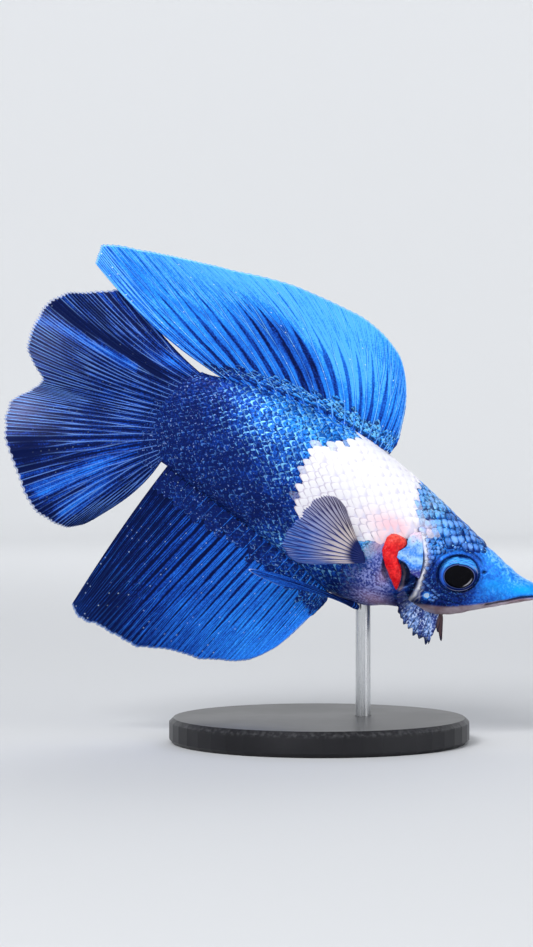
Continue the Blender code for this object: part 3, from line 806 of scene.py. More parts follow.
# %% Body colour group
def build_body_colours():
    net, _ = new_group("betta_body_colours", (), ("Color", "Roughness", "Metallic", "Blue"))
    tone, white, breast = net.attributes("tone", "white", "breast")
    cloud = net.noise(420.0, 3.0)
    tone = tone + net.remap(cloud, 0.3, 0.7, -0.09, 0.09)
    tone = tone + net.remap(net.noise(3200.0, 2.0), 0.3, 0.7, -0.15, 0.15)
    colour = net.ramp(tone, (0.0, NAVY), (0.3, DEEP_BLUE), (0.6, ROYAL), (0.9, AZURE), (1.0, PALE_AZURE))
    colour = net.mix(net.remap(tone, 1.0, 1.4), colour, (0.5, 0.68, 0.97, 1))
    colour = net.mix(net.attribute("cyan"), colour, CYAN)
    fleck = net.remap(net.noise(3600.0, 2.0), 0.4, 0.62)
    chest = net.mix(fleck, (0.025, 0.045, 0.24, 1), (0.24, 0.28, 0.62, 1))
    chest = net.mix(net.remap(net.noise(700.0, 2.0), 0.5, 0.65, 0.0, 0.65), chest, (0.02, 0.04, 0.22, 1))
    colour = net.mix(breast, colour, chest)
    colour = net.mix(white, colour, WHITE)
    colour = net.mix(net.attribute("pink") * 0.75, colour, PINK)
    jaw = net.attribute("jaw")
    colour = net.mix(jaw, colour, net.mix(net.remap(cloud, 0.35, 0.65), JAW_PINK, JAW_PALE))
    silver = net.attribute("silver")
    colour = net.mix(silver, colour, SILVER)
    # Painted shade: the shade mask darkens creases and hollows towards near-black.
    colour = net.mix(net.attribute("shade") * 0.96, colour, INK_AND_SHADE)
    pale = net.math("MAXIMUM", net.math("MAXIMUM", white, silver), net.math("MAXIMUM", jaw, breast))
    blue = net.math("SUBTRACT", 1.0, pale, clamp=True)
    gloss = net.remap(cloud, 0.2, 0.8, 0.3, 0.46)
    return net.finish(color=colour, roughness=gloss, metallic=blue * 0.3, blue=blue)


body_colours = build_body_colours()
print("group:", body_colours.name)

# %% [markdown]
# ## Skin
#
# Under the scales is one skin from lips to tail root. It starts as a flat Grid; we roll it into a tube
# round the spine, close the seam along the belly, and let the sculpting function press the face into it.
# The squares are four times finer on the head, where all the small forms are.

# %% Roll the grid into a skin
HEAD_FROM_X, HEAD_TO_X, SNOUT_LENGTH = -9.2, 9.4, 0.9
RING_XS = np.concatenate(
    [
        TAIL_BASE_X - TAIL_FLESH * np.linspace(1, 0, 10)[:-1],
        np.linspace(TAIL_BASE_X, HEAD_FROM_X, 76)[:-1],
        np.linspace(HEAD_FROM_X, HEAD_TO_X, 196)[:-1],
        SNOUT_TIP_X - SNOUT_LENGTH * np.linspace(1, 0, 14) ** 1.7,
    ]
)
SKIN_SIDES = 304


def share_of_x(x):
    return np.interp(x, RING_XS, np.linspace(0, 1, len(RING_XS)))


def build_skin_material():
    net = new_material("betta_skin", coat=0.06, coat_roughness=0.22)
    made = net.group(body_colours)
    pores = net.cells(2600.0)
    flecks = net.remap(net.noise(4200.0, 2.0), 0.58, 0.68) * made["Blue"]
    return net.finish(
        base_color=net.mix(flecks * 0.3, made["Color"], (0.12, 0.42, 0.95, 1)),
        roughness=made["Roughness"],
        metallic=made["Metallic"],
        normal=net.bump(pores, 0.35, 0.05),
    )


skin, around, length_share = new_net("fish_skin", SKIN_SIDES, len(RING_XS) - 1)
skin_x = np.interp(length_share, np.linspace(0, 1, len(RING_XS)), RING_XS)
skin_points = body_at(skin_x, 2 * around - 1)
put(skin, skin_points)
mark(skin, skin_points)
close_seams(skin)
settle(skin, build_skin_material(), "blue_skin", "head", "lower_jaw", "trunk", "tail_stalk")

# %% [markdown]
# ## Eyes
#
# A fish eye is a flattened ball with a large round lens that bulges a little through the pupil. We take a
# UV Sphere, press it into that shape, and store at each vertex its place relative to the pupil. The
# material draws the black pupil, the fine silver ring, the dark band and the bright crescent above from
# those numbers. A thin clear coat makes it look wet. A fine streak low in the lens is a painted highlight,
# the glint of its rounded edge, and the silver ring is painted brighter at its lower right as a highlight.

# %% Eyeballs
PUPIL_AT = (0.15, -0.24)
PUPIL_RADII = (1.87, 1.5)
PUPIL_PEAK = 1.06  # how much the pupil narrows to its upper front
LENS_BULGE = 0.07
SIDES = (("right", -1), ("left", 1))


def build_eye_material():
    net = new_material("wet_eye", coat=0.14, coat_roughness=0.02, specular=0.0)
    across, up = net.attributes("eye_along", "eye_above")
    r = net.length(across, up)
    streak = net.noise(9.0, 3.0, net.vector(across * 0.35, r * 2.2))
    high = net.remap(up, 0.15, 0.85)
    iris = net.ramp(r, (0.94, NAVY), (0.97, (0.10, 0.14, 0.33, 1)), (1.0, NAVY))
    rear = net.mix(net.remap(across, -0.7, -1.05), NAVY, (0.03, 0.14, 0.7, 1))
    iris = net.mix(net.remap(r, 1.0, 1.06), iris, rear)
    crescent = net.remap(r, 1.04, 1.12) * net.remap(r, 1.62, 1.46)
    bright = net.mix(net.remap(streak, 0.35, 0.62), (0.01, 0.10, 0.55, 1), (0.07, 0.42, 0.93, 1))
    iris = net.mix(crescent * high, iris, bright)
    ring = net.remap(r, 1.14, 1.19) * net.remap(r, 1.26, 1.21)
    # The silver ring is painted brightest at its lower right: partly its own colour, partly painted
    # highlight.
    ring = ring * net.remap(across - up, -0.5, 1.1, 0.1, 0.9)
    iris = net.mix(ring, iris, (0.34, 0.37, 0.60, 1))
    pupil = net.remap(r, 0.955, 0.925)
    # Painted highlight: a fine glint streak low in the lens, where its rounded edge catches the light.
    glint = net.remap(r, 0.70, 0.76) * net.remap(r, 0.86, 0.80)
    glint = glint * net.remap(across - up * 0.9, 0.86, 1.04)
    lens = net.mix(glint * 0.7, (0.0015, 0.0015, 0.003, 1), (0.42, 0.42, 0.48, 1))
    return net.finish(base_color=net.mix(pupil, iris, lens), roughness=net.remap(streak, 0.2, 0.8, 0.16, 0.3))


eye_material = build_eye_material()


def build_eye(hand, side):
    deselect_all()
    bpy.ops.mesh.primitive_uv_sphere_add(segments=72, ring_count=44, radius=1)
    eye = bpy.context.object
    eye.name = eye.data.name = "eyeball_" + hand
    ball = knots_of(eye)
    front = ball[:, 2] > 0
    r = np.clip(np.hypot(ball[:, 0], ball[:, 1]), 0, 1)
    out = np.where(front, eye_height(r), ball[:, 2])
    along, above = ball[:, 0] * EYE_RADII[0], ball[:, 1] * EYE_RADII[2]
    from_pupil = [(along - PUPIL_AT[0]) / PUPIL_RADII[0], (above - PUPIL_AT[1]) / PUPIL_RADII[1]]
    from_pupil[1] = from_pupil[1] * np.where((from_pupil[0] > 0) & (from_pupil[1] > 0), PUPIL_PEAK, 1.0)
    lens = np.where(front, ramp(1.02, 0.86, np.hypot(*from_pupil)) - 1.0, 0) * LENS_BULGE
    rim = np.where(front, ramp(0.9, 1.0, r), 0)
    c, s = math.cos(math.radians(EYE_TILT)), math.sin(math.radians(EYE_TILT))
    x = EYE_AT[0] + along * c - above * s
    y = side * (EYE_AT[1] + EYE_RADII[1] * out + lens - 0.02 * rim)
    z = EYE_AT[2] + along * s + above * c
    put(eye, np.stack([x, y, z], axis=-1))
    tag(eye, eye_along=from_pupil[0], eye_above=from_pupil[1])
    close_seams(eye)
    settle(eye, eye_material, "black_eye", "eye_" + hand)


for hand, side in SIDES:
    build_eye(hand, side)

# %% [markdown]
# ## One scale
#
# A fish scale is a thin round-ended plate, rooted in the skin at its front and free at its back, where it
# lies over the next two. With hundreds of them, each may have only a few dozen faces. So one scale is
# modelled well, from a small Grid: it is extruded down for thickness, and its underside is dissolved to a
# single face.

# %% Model the scale
SCALE_CELLS = 5


def model_scale():
    deselect_all()
    bpy.ops.mesh.primitive_grid_add(x_subdivisions=SCALE_CELLS, y_subdivisions=SCALE_CELLS, size=2)
    scale = bpy.context.object
    with edit_mode(scale):
        bpy.ops.mesh.extrude_region_move(TRANSFORM_OT_translate={"value": (0, 0, -1)})
        bpy.ops.mesh.select_mode(type="FACE")
        bpy.ops.mesh.select_all(action="DESELECT")
    for face in scale.data.polygons:
        face.select = max(scale.data.vertices[i].co.z for i in face.vertices) < -0.5
    bpy.ops.object.mode_set(mode="EDIT")
    bpy.ops.mesh.dissolve_faces()
    with edit_mode(scale):
        bpy.ops.mesh.normals_make_consistent(inside=False)
    knots = knots_of(scale)
    faces = [list(face.vertices) for face in scale.data.polygons]
    bpy.data.objects.remove(scale, do_unlink=True)
    return knots, faces


scale_knots, scale_faces = model_scale()
ACROSS = scale_knots[:, 0]  # -1 to 1
ALONG = (scale_knots[:, 1] + 1) / 2  # 0 at the root, 1 at the free edge
TOP = scale_knots[:, 2] > -0.5
print("one scale:", len(scale_knots), "vertices,", len(scale_faces), "faces")

# %% [markdown]
# ## Laying the coat
#
# To lay the scales, each vertex of the model scale is looked up on the surface function, so a scale bends
# with the body wherever it lies. Roots sit just under the skin, and the free edge rises a tenth of a
# millimetre, so neighbours overlap like roof tiles. Each scale also gets a tiny patch of the texture map,
# at the place where it grows, and takes its whiteness from its middle: that is why the white band ends in
# a jagged edge.

# %% Lay scales on a surface
PATCH = 0.003
ROOT_DEPTH = 0.05
SCALE_THICKNESS = 0.075
TILT_SCATTER, SIZE_SCATTER = 0.05, 0.045
SHARP_ANGLE = math.radians(50)


def scale_places(draw, roots, reach, half_width):
    """Where each vertex of each scale lies, along and across the surface, with a little scatter."""
    along = ALONG * (1 - 0.42 * np.abs(ACROSS) ** 2.2 * ALONG**1.5)
    across = ACROSS * (0.72 + 0.28 * np.sin(math.pi * np.clip(ALONG, 0, 0.8)))
    across = across * np.where(ALONG > 0.9, 0.86, 1.0)
    tilt = draw.normal(0, TILT_SCATTER, (len(roots), 1))
    grow = draw.normal(1.0, SIZE_SCATTER, (len(roots), 1))
    p = roots[:, :1] + along * reach * grow
    q = roots[:, 1:] + (across + tilt * along) * half_width * grow
    return p, q, along


def repeat_scale(name, count):
    """A mesh of so many copies of the model scale, and the scale's vertex at each face corner."""
    mesh = bpy.data.meshes.new(name)
    sizes = np.array([len(face) for face in scale_faces])
    corners = np.concatenate([np.array(face) for face in scale_faces])
    mesh.vertices.add(count * len(ACROSS))
    mesh.loops.add(count * len(corners))
    mesh.polygons.add(count * len(sizes))
    knots = np.arange(count)[:, None] * len(ACROSS) + corners
    mesh.loops.foreach_set("vertex_index", knots.ravel().astype(np.int32))
    first = np.concatenate([[0], np.cumsum(sizes)[:-1]])
    firsts = np.arange(count)[:, None] * len(corners) + first
    mesh.polygons.foreach_set("loop_start", firsts.ravel().astype(np.int32))
    mesh.update(calc_edges=True)
    return mesh, corners


def lay_scales(
    name, surface, roots, reach, half_width, lift, dome, patch_at, seed, bead=0.0, all_blue=False
):
    """surface holds two functions of (p, q), for points and for normals. Scales grow along p and
    spread along q."""
    draw = np.random.default_rng(seed)
    point_at, normal_at = surface
    count, total = len(roots), len(ACROSS)
    reach, half_width, lift, dome = [np.reshape(value, (-1, 1)) for value in (reach, half_width, lift, dome)]
    p, q, along = scale_places(draw, roots, reach, half_width)
    points, normals = point_at(p, q), normal_at(p, q)
    vault = dome * (1 - ACROSS**2) * np.sin(math.pi * np.clip(along, 0, 1)) ** 0.7
    height = lift * along + vault - ROOT_DEPTH - np.where(TOP, 0.0, SCALE_THICKNESS)
    points = points + normals * height[..., None]

    mesh, corners = repeat_scale(name, count)
    coat = bpy.data.objects.new(name, mesh)
    bpy.context.scene.collection.objects.link(coat)
    put(coat, points.reshape(-1, 3))
    at_u, at_v = patch_at(roots[:, 0], roots[:, 1])
    patch_u = at_u[:, None] + ACROSS[corners] * PATCH / 2
    patch_v = at_v[:, None] + (ALONG[corners] - 0.5) * PATCH
    patch = np.stack([patch_u, patch_v], axis=-1).astype(np.float32)
    mesh.uv_layers.new(name="OFBake").uv.foreach_set("vector", patch.ravel())
    middle = point_at(roots[:, :1] + 0.55 * reach, roots[:, 1:])
    mark(coat, points.reshape(-1, 3), np.repeat(middle, total, axis=1).reshape(-1, 3), all_blue)
    tag(coat, across=np.tile(ACROSS, count), along=np.tile(ALONG, count))
    tag(coat, chance=np.repeat(draw.uniform(0, 1, count), total), bead=np.full(count * total, bead))
    with edit_mode(coat):
        bpy.ops.mesh.normals_make_consistent(inside=False)
    bpy.ops.object.shade_smooth_by_angle(angle=SHARP_ANGLE)
    return coat


def flank(side):
    """The body as a surface whose first number runs aft and whose second runs round from back to belly."""
    return lambda p, q: body_at(-p, side * q), lambda p, q: body_normal(-p, side * q)


def patch_on_skin(side):
    return lambda p, q: ((side * q + 1) / 2, share_of_x(-p))


def half_girth(x):
    """Millimetres from the back to the belly line, round one flank."""
    angles = angle_at(np.full(33, x), np.linspace(0, 1, 33))
    return float(arc_lengths(plain_body(np.full(33, max(x, TAIL_BASE_X)), angles))[-1])


print("half girth at the shoulder:", round(half_girth(-14.0), 2), "mm")

# %% Body scales
ROWS = 17
FIRST_COLUMN_X = -6.6
LAST_COLUMN_X = TAIL_BASE_X - 2.6
RIDGE_TO_X = -37.5  # behind this no scale sits astride the back
BODY_OVERLAP = 1.85  # a scale's reach in column spacings
SPACING_XS = [-41.0, -37.0, -28.0, -20.0, -12.0, -8.0]
SPACINGS = [0.8, 0.92, 1.1, 1.3, 1.5, 1.3]
NAPE_ZS = [1.5, 2.7, 2.9, 4.4, 6.6, 9.0]
NAPE_XS = [-5.9, -6.2, -6.4, -7.5, -8.8, -9.6]


def in_coat(x, z):
    """Where the body's scales grow: behind the head, and not in the gill's hollow."""
    if z > 1.8 and x > float(smooth_through(NAPE_ZS, NAPE_XS, z)) + 0.2:
        return False
    if z <= 1.8 and behind_cover(x, z) < 0.5:
        return False
    return oval(x, z, HOLLOW_AT, (HOLLOW_SIZE[0] + 0.35, HOLLOW_SIZE[1] + 0.3)) > 1.0


def body_roots():
    """Roots in staggered columns with a little scatter, and each scale's reach."""
    draw = np.random.default_rng(3)
    roots, reach = [], []
    x, column = FIRST_COLUMN_X, 0
    while x > LAST_COLUMN_X:
        step = float(np.interp(x, SPACING_XS, SPACINGS))
        for row in range(ROWS + 1):
            q = (row + 0.5 * (column % 2)) / ROWS
            if q > 1.0 or (q == 0 and x < RIDGE_TO_X):
                continue
            place = body_at(np.array([x - 0.6 * step]), np.array([q]))[0]
            if in_coat(place[0], place[2]):
                roots.append((-x + draw.uniform(-0.09, 0.09) * step, q + draw.uniform(-0.1, 0.1) / ROWS))
                reach.append(BODY_OVERLAP * step)
        x -= step * 0.5
        column += 1
    return np.array(roots), np.array(reach)


def build_scale_material():
    net = new_material("betta_scales", coat=0.05, coat_roughness=0.2, specular=0.03)
    made = net.group(body_colours)
    blue = made["Blue"]
    across, along, chance = net.attributes("across", "along", "chance")
    white, bead, tone = net.attributes("white", "bead", "tone")
    side = abs(across)
    bend = along + side**2.0 * 0.16
    # Painted shade: each scale is darker towards its root, under the neighbours that lie over it.
    root = net.remap(along, 0.62, 0.40)
    root = root * net.math("SUBTRACT", 0.8, net.attribute("breast"), clamp=True)
    colour = net.mix(root, made["Color"], net.mix(blue, (0.62, 0.6, 0.75, 1), NAVY))
    colour = net.mix(net.remap(chance, 0.5, 0.0, 0.0, 0.5) * blue, colour, NAVY)
    worms = net.remap(net.noise(3900.0, 1.0), 0.46, 0.38, 0.0, 0.8) * blue
    colour = net.mix(worms, colour, NAVY)

    # Painted highlight: a broken bright crescent just inside each blue scale's free edge, the glint of its
    # rim.
    crescent = net.remap(bend, 0.80, 0.88) * net.remap(bend, 1.01, 0.95)
    sparse = net.remap(tone, 0.0, 0.5, 0.50, 0.43)
    broken = net.remap(net.noise(2300.0, 2.0), sparse, sparse + 0.08)
    flash = crescent * broken * blue * net.remap(chance, 0.1, 0.9, 0.4, 1.0) * (1.0 - bead)
    shine = net.mix(net.remap(tone, 0.0, 0.5), (0.05, 0.15, 0.46, 1), (0.24, 0.64, 0.99, 1))
    colour = net.mix(flash, colour, shine)
    # Painted glints: small bright sparks scattered over the blue scales.
    sparks = net.remap(net.noise(3900.0, 1.0), 0.67, 0.73, 0.0, 0.8) * blue
    spark = net.mix(net.remap(tone, 0.0, 0.6), (0.20, 0.30, 0.62, 1), (0.34, 0.68, 0.99, 1))
    colour = net.mix(sparks, colour, spark)

    # Painted highlight on the top of each bead's dome.
    crown = net.remap(side, 0.75, 0.2) * net.remap(along, 0.3, 0.6) * net.remap(along, 1.0, 0.8) * blue
    crown = crown * (bead * net.remap(chance, 0.0, 1.0, 0.2, 0.95))
    crown_colour = net.mix(net.remap(tone, 0.5, 0.8), (0.14, 0.32, 0.84, 1), (0.22, 0.46, 0.93, 1))
    colour = net.mix(crown, colour, crown_colour)

    # Painted shade: dark lines along each scale's free edge and sides, and round each bead, where the scales
    # overlap; on the white band they are grey outlines.
    rim = net.math("MAXIMUM", net.remap(bend, 0.97, 1.05), net.remap(side, 0.8, 1.0))
    rim = net.math("MAXIMUM", rim, bead * net.remap(bend, 0.84, 1.0))
    rim = net.mix(white, rim, net.remap(bend, 0.88, 0.98) * net.remap(side, 0.95, 0.6))
    faint = net.attribute("edges") * net.remap(net.noise(300.0, 1.0), 0.35, 0.6, 0.3, 0.75)
    depth = net.mix(white, (0.85, 0.85, 0.85, 1), faint)
    colour = net.mix(rim * depth, colour, net.mix(white, INK_AND_SHADE, (0.42, 0.36, 0.48, 1)))
    rings = net.math("SINE", bend * 60.0)
    return net.finish(
        base_color=colour,
        roughness=made["Roughness"],
        metallic=made["Metallic"],
        normal=net.bump(rings, 0.12, 0.01),
    )


scale_material = build_scale_material()
BODY_ROOTS, BODY_REACH = body_roots()


def on_side(roots, side):
    """Picks the roots for one side: those on the midline belong to the right."""
    return roots[:, 1] > (0.0 if side > 0 else -1.0)


for hand, side in SIDES:
    keep = on_side(BODY_ROOTS, side)
    roots = BODY_ROOTS[keep]
    lift = np.interp(-roots[:, 0], [-40, -30, -12], [0.13, 0.17, 0.17])
    half_width = np.full(len(roots), 0.62 / ROWS)
    coat = lay_scales(
        "scales_" + hand, flank(side), roots, BODY_REACH[keep], half_width, lift, 0.03, patch_on_skin(side),
        11 + side,
    )
    settle(coat, scale_material, "blue_skin", "trunk")

# %% [markdown]
# ## Head plates
#
# On the nape and the brow the scales turn into rounded beads, as if studded, and on the cheek they are
# small. The snout is bare. The same model scale does for all of them, laid with more dome, less overlap
# and closer together towards the eye.


# %% Beads of the nape, brow and cheek
def on_brow(x, z):
    nape = smooth_through([2.7, 2.9, 4.4, 6.6, 9.0], [-6.1, -6.4, -7.5, -8.8, -9.8], z)
    low = smooth_through([-9.0, -6.2, -4.6, -2.8, 0.0, 2.6], [2.4, 2.9, 3.0, 2.95, 3.25, 4.6], x)
    return (x > nape - 0.5) & (z > low) & (x < 1.7)


def on_cheek(x, z):
    below = smooth_through([-5.0, -2.0, 0.0, 3.0], [-3.9, -4.3, -4.0, -2.6], x)
    off_spot = np.hypot(x - CHEEK_SPOT_AT[0], z - CHEEK_SPOT_AT[1]) > 0.85
    off_eye = orbit_share(x, z)[0] > 1.32
    return (behind_cover(x, z) < -1.05) & off_eye & (z < 3.1) & (z > below) & (x < 0.2 + 0.25 * z) & off_spot


BEAD_REACH, BEAD_HALF_WIDTH = 1.5, 0.56  # in bead spacings


def head_roots(region, last_x, first_x, spacing_xs, spacings, seed):
    """Roots in staggered columns with a little scatter, as (p, q) with reach and half width."""
    draw = np.random.default_rng(seed)
    found = []
    x, column = last_x, 0
    while x > first_x:
        size = float(np.interp(x, spacing_xs, spacings))
        girth = half_girth(x)
        for row in range(int(girth / size) + 1):
            q = (row + 0.5 * (column % 2)) * size / girth
            at = body_at(np.array([x - 0.4 * size]), np.array([q]))[0]
            scatter = draw.uniform(-0.13, 0.13, 2) * size
            if q < 1 and region(at[0], at[2]):
                half_width = BEAD_HALF_WIDTH * size / girth
                found.append((-x + scatter[0], q + scatter[1] / girth, BEAD_REACH * size, half_width))
        x -= 0.56 * size
        column += 1
    return np.array(found)


BROW = head_roots(on_brow, 2.4, -9.8, [-10, -6, -2, 1.5], [0.95, 1.1, 1.25, 1.0], 5)
CHEEK = head_roots(on_cheek, 1.2, -5.2, [-5, -3, 0], [0.62, 0.66, 0.5], 6)
print("beads on one side:", len(BROW), "on the brow and", len(CHEEK), "on the cheek")
for hand, side in SIDES:
    for name, found, lift, dome in (("brow_beads_", BROW, 0.13, 0.16), ("cheek_beads_", CHEEK, 0.08, 0.06)):
        at = found[on_side(found, side)]
        plates = lay_scales(
            name + hand, flank(side), at[:, :2], at[:, 2], at[:, 3], lift, dome, patch_on_skin(side),
            21 + side, bead=1.0,
        )
        settle(plates, scale_material, "blue_skin", "head")

# %% [markdown]
# ## Fin rays
#
# A fin is a thin web held out by bony rays, and each ray forks, and forks again, on its way to the edge.
# One folding trick gives all of that: take the distance to the middle of a ray, fold it at half the
# spread of its branches, and fold once more for the second fork. The same fold raises the ribs of the
# mesh here and draws the fine lines in the material later, so shape and colour stay together.

# %% Forking rays
FORK_LENGTH = 0.3  # the share of a ray over which its branches part
FIRST_SPREAD, SECOND_SPREAD = 0.25, 0.125  # in ray spacings
KNEE_SHARE = 0.45  # how far out a ray's own direction carries it before it turns to its tip


def forked(start, out):
    return ramp(start, start + FORK_LENGTH, out)


def fold_rays(ray, out, fork, second_fork):
    """Distance from the nearest branch, in ray spacings."""
    d = np.abs(ray - np.floor(ray) - 0.5)
    return np.abs(np.abs(d - FIRST_SPREAD * forked(fork, out)) - SECOND_SPREAD * forked(second_fork, out))


def bent_ray(start_x, start_z, angle_deg, tip_x, tip_z, out):
    """Fin rays that leave their base at an angle and bend towards their tips."""
    angle = np.radians(angle_deg)
    reach = np.hypot(tip_x - start_x, tip_z - start_z) * KNEE_SHARE
    knee_x, knee_z = start_x - reach * np.cos(angle), start_z + reach * np.sin(angle)
    rest = 1 - out
    x = rest**2 * start_x + 2 * rest * out * knee_x + out**2 * tip_x
    z = rest**2 * start_z + 2 * rest * out * knee_z + out**2 * tip_z
    return x, z


def ray_length(place, u):
    return np.linalg.norm(place(u, np.ones_like(u)) - place(u, np.zeros_like(u)), axis=-1)


def sheet_normal(place, u, v, side=1):
    """Outward direction of a fin's sheet on the fish's left, or right where side is -1."""
    step = 0.004
    along = place(u, v + step) - place(u, v - step)
    across = place(u + step, v) - place(u - step, v)
    normal = unit(np.cross(across, along))
    return normal * np.where(normal[..., 1:2] * side < 0, -1, 1)


print("a ray has forked in four at the edge:", fold_rays(np.array([0.125]), 1.0, 0.3, 0.6))

# %% [markdown]
# ## Fin sheets
#
# Every fin is a Grid again, folded in half along the front edge so that it has two sides, and closed at
# its edge and at its root inside the body. The place function of each fin puts a point at a share of the
# way along its base and out along its rays. It sways a little, as a fin in water does. At the free edge
# the ray tips stand out and the web between them draws in.

# %% Build a fin
ON_LINE = 1e-6
BRANCH_MIN_GAP, BRANCH_FULL_GAP = 0.12, 0.4  # millimetres between branches where ribs fade in
HEM_THICKNESS = 0.02
ROOT_SWELL, ROOT_SWELL_LENGTH = 0.22, 1.2
RAY_WAVER = 0.10  # in ray spacings


def ragged_edge(u, rays, ragged, fork, second_fork, seed):
    """How far the edge is cut back between the ray tips."""
    branches = 1 + 3 * (second_fork < 1) + (fork < 1)
    from_branch = fold_rays(u * rays, np.ones_like(u), fork, second_fork)
    cut = ramp(0.0, 1.0, from_branch / (0.5 / branches)) + 0.9 * grain(u * rays * 0.7, seed=seed + 2)
    cut = ragged * cut + 0.5 * ragged * grain(u * rays * 2.6, seed=seed + 3)
    return np.clip(cut, -0.2, 0.2)


def build_fin(name, place, rays, cells, forks, seed, ragged, web=0.05, rib=0.13, root=0.06, paint=None):
    """A closed two-sided fin sheet with raised, forking rays. paint(x, z) gives its tone and its lilac."""
    (across, out_cells), (fork, second_fork) = cells, forks
    fin, share, v = new_net(name, 2 * across, out_cells)
    u = np.where(share < 0.5, 2 * share, 2 - 2 * share)
    on_fold = (share < ON_LINE) | (np.abs(share - 0.5) < ON_LINE) | (share > 1 - ON_LINE)
    side = np.where(on_fold, 0.0, np.where(share < 0.5, 1.0, -1.0))
    ray = u * rays + RAY_WAVER * grain(u * rays * 0.9, v * 1.3, seed=seed + 1)
    out = -root + v * (1 + root) * (1 - ragged_edge(u, rays, ragged, fork, second_fork, seed) * v**3)
    away = np.clip(out, 0, 1)
    points = place(u, out)
    step = 0.5 / rays
    gap = np.linalg.norm(place(u + step, out) - place(u - step, out), axis=-1)
    branch_gap = gap * (1 - 0.5 * forked(fork, out)) * (1 - 0.5 * forked(second_fork, out))
    size = rib * (1 - 0.6 * away)
    from_ray = fold_rays(ray, away, fork, second_fork) * gap
    ridge = size * hill(from_ray, np.maximum(size * 0.9, 0.05))
    ridge = ridge * ramp(BRANCH_MIN_GAP, BRANCH_FULL_GAP, branch_gap)
    reach = ray_length(place, u)
    hem = (1 - v) * reach
    half = (web + ridge) * ramp(-0.02, 0.35, hem) + HEM_THICKNESS
    half = half + ROOT_SWELL * np.exp(-away * reach / ROOT_SWELL_LENGTH)
    half = half * np.where((v < ON_LINE) | (v > 1 - ON_LINE), 0.0, 1.0)
    points = points + sheet_normal(place, u, out) * (side * half)[:, None]
    put(fin, points)
    tag(fin, ray=ray, out=away, span=gap, hem=hem, base=u, reach=np.clip(out, -1, 1) * reach)
    if paint:
        tone, lilac = paint(points[:, 0], points[:, 2])
        tag(fin, tone=np.clip(tone, -0.2, 1.15), lilac=np.clip(lilac, 0, 1))
    close_seams(fin)
    return fin


print("fins are ready to be drawn")

# %% Fin tables
DORSAL_RAYS = [  # base x, angle at the base, tip x, tip z; from the rear
    (-36.9, 4.0, -55.5, 12.9), (-35.4, 12.0, -55.9, 15.1), (-32.0, 24.0, -50.5, 17.1),
    (-28.0, 38.0, -46.0, 18.45), (-23.8, 50.0, -40.8, 19.8), (-20.4, 66.0, -32.4, 21.6),
    (-17.8, 80.0, -24.7, 21.9), (-15.6, 90.0, -18.6, 20.2), (-14.3, 98.0, -15.2, 16.1),
    (-13.6, 98.0, -13.7, 11.2),
]
CAUDAL_RAYS = [  # base z, angle at the base, tip x, tip z; from the top
    (6.9, 10.0, -51.0, 11.9), (5.9, 1.0, -54.9, 9.2), (5.0, -5.0, -57.5, 7.7), (4.1, -9.0, -59.0, 5.1),
    (3.3, -12.0, -58.9, 2.5), (2.5, -14.0, -58.2, -0.4), (1.6, -16.0, -55.4, -3.0), (0.8, -18.0, -56.2, -4.9),
    (0.0, -21.0, -57.7, -7.5), (-1.0, -27.0, -56.9, -10.4), (-2.0, -36.0, -52.9, -14.4),
    (-2.9, -46.0, -48.5, -17.4), (-3.7, -58.0, -45.2, -17.7), (-4.3, -70.0, -43.2, -16.8),
    (-4.8, -84.0, -41.9, -15.0),
]
ANAL_RAYS = [  # as the dorsal fin's
    (-36.9, -79.0, -39.7, -25.9), (-33.8, -76.0, -38.4, -26.7), (-30.5, -73.0, -36.2, -26.6),
    (-26.0, -72.0, -31.4, -26.7), (-22.0, -73.0, -26.8, -25.4), (-18.2, -76.0, -22.2, -24.2),
    (-15.2, -80.0, -18.4, -22.4), (-13.4, -84.0, -15.2, -18.6), (-12.7, -88.0, -13.5, -14.0),
    (-12.4, -90.0, -12.6, -11.4),
]
PECTORAL_RAYS = [  # base x, base z, tip x, tip z
    (-12.1, -1.9, -15.8, 2.0), (-12.0, -2.1, -17.4, 2.8), (-11.9, -2.3, -19.0, 1.8),
    (-11.7, -2.5, -20.2, -0.2), (-11.5, -2.8, -20.7, -2.7), (-11.3, -3.1, -20.2, -5.2),
    (-11.1, -3.4, -18.4, -6.2), (-10.9, -3.6, -15.8, -5.7),
]
PELVIC_RAYS = [  # base x, base z, angle, length
    (-9.9, -8.9, 1.0, 9.0), (-9.5, -9.0, -2.0, 13.2), (-9.0, -9.1, -5.0, 9.5),
]
BEARD_RAYS = [  # root x, root z, hem x, hem z
    (-4.9, -4.6, -5.6, -5.5), (-3.9, -5.5, -4.4, -6.9), (-2.6, -5.95, -2.9, -8.4), (-1.2, -6.15, -1.0, -9.0),
    (0.0, -6.0, 0.8, -9.2), (0.45, -5.9, 0.8, -7.3), (0.8, -5.75, 2.2, -8.5),
]
GAP = 0.3


def wave(turns, u, start):
    return np.sin(2 * math.pi * turns * u + start)


def dorsal_place(u, v):
    base_x, angle, tip_x, tip_z = table_at(DORSAL_RAYS, u)
    x, z = bent_ray(base_x, station(base_x)[0] + GAP + 0.1, angle, tip_x, tip_z, v)
    y = -0.9 * (1 - u) ** 2 * v + 0.55 * v * v * wave(1.6, u, 0.6)
    return np.stack([x, y, z], axis=-1)


def caudal_place(u, v):
    base_z, angle, tip_x, tip_z = table_at(CAUDAL_RAYS, u)
    x, z = bent_ray(TAIL_BASE_X - GAP + 0 * u, base_z, angle, tip_x, tip_z, v)
    y = 1.2 * np.clip(1 - 5 * u, 0, 1) * v + 1.15 * np.clip(v, 0, 2) ** 1.5 * wave(2.1, u, 1.1)
    return np.stack([x, y, z], axis=-1)


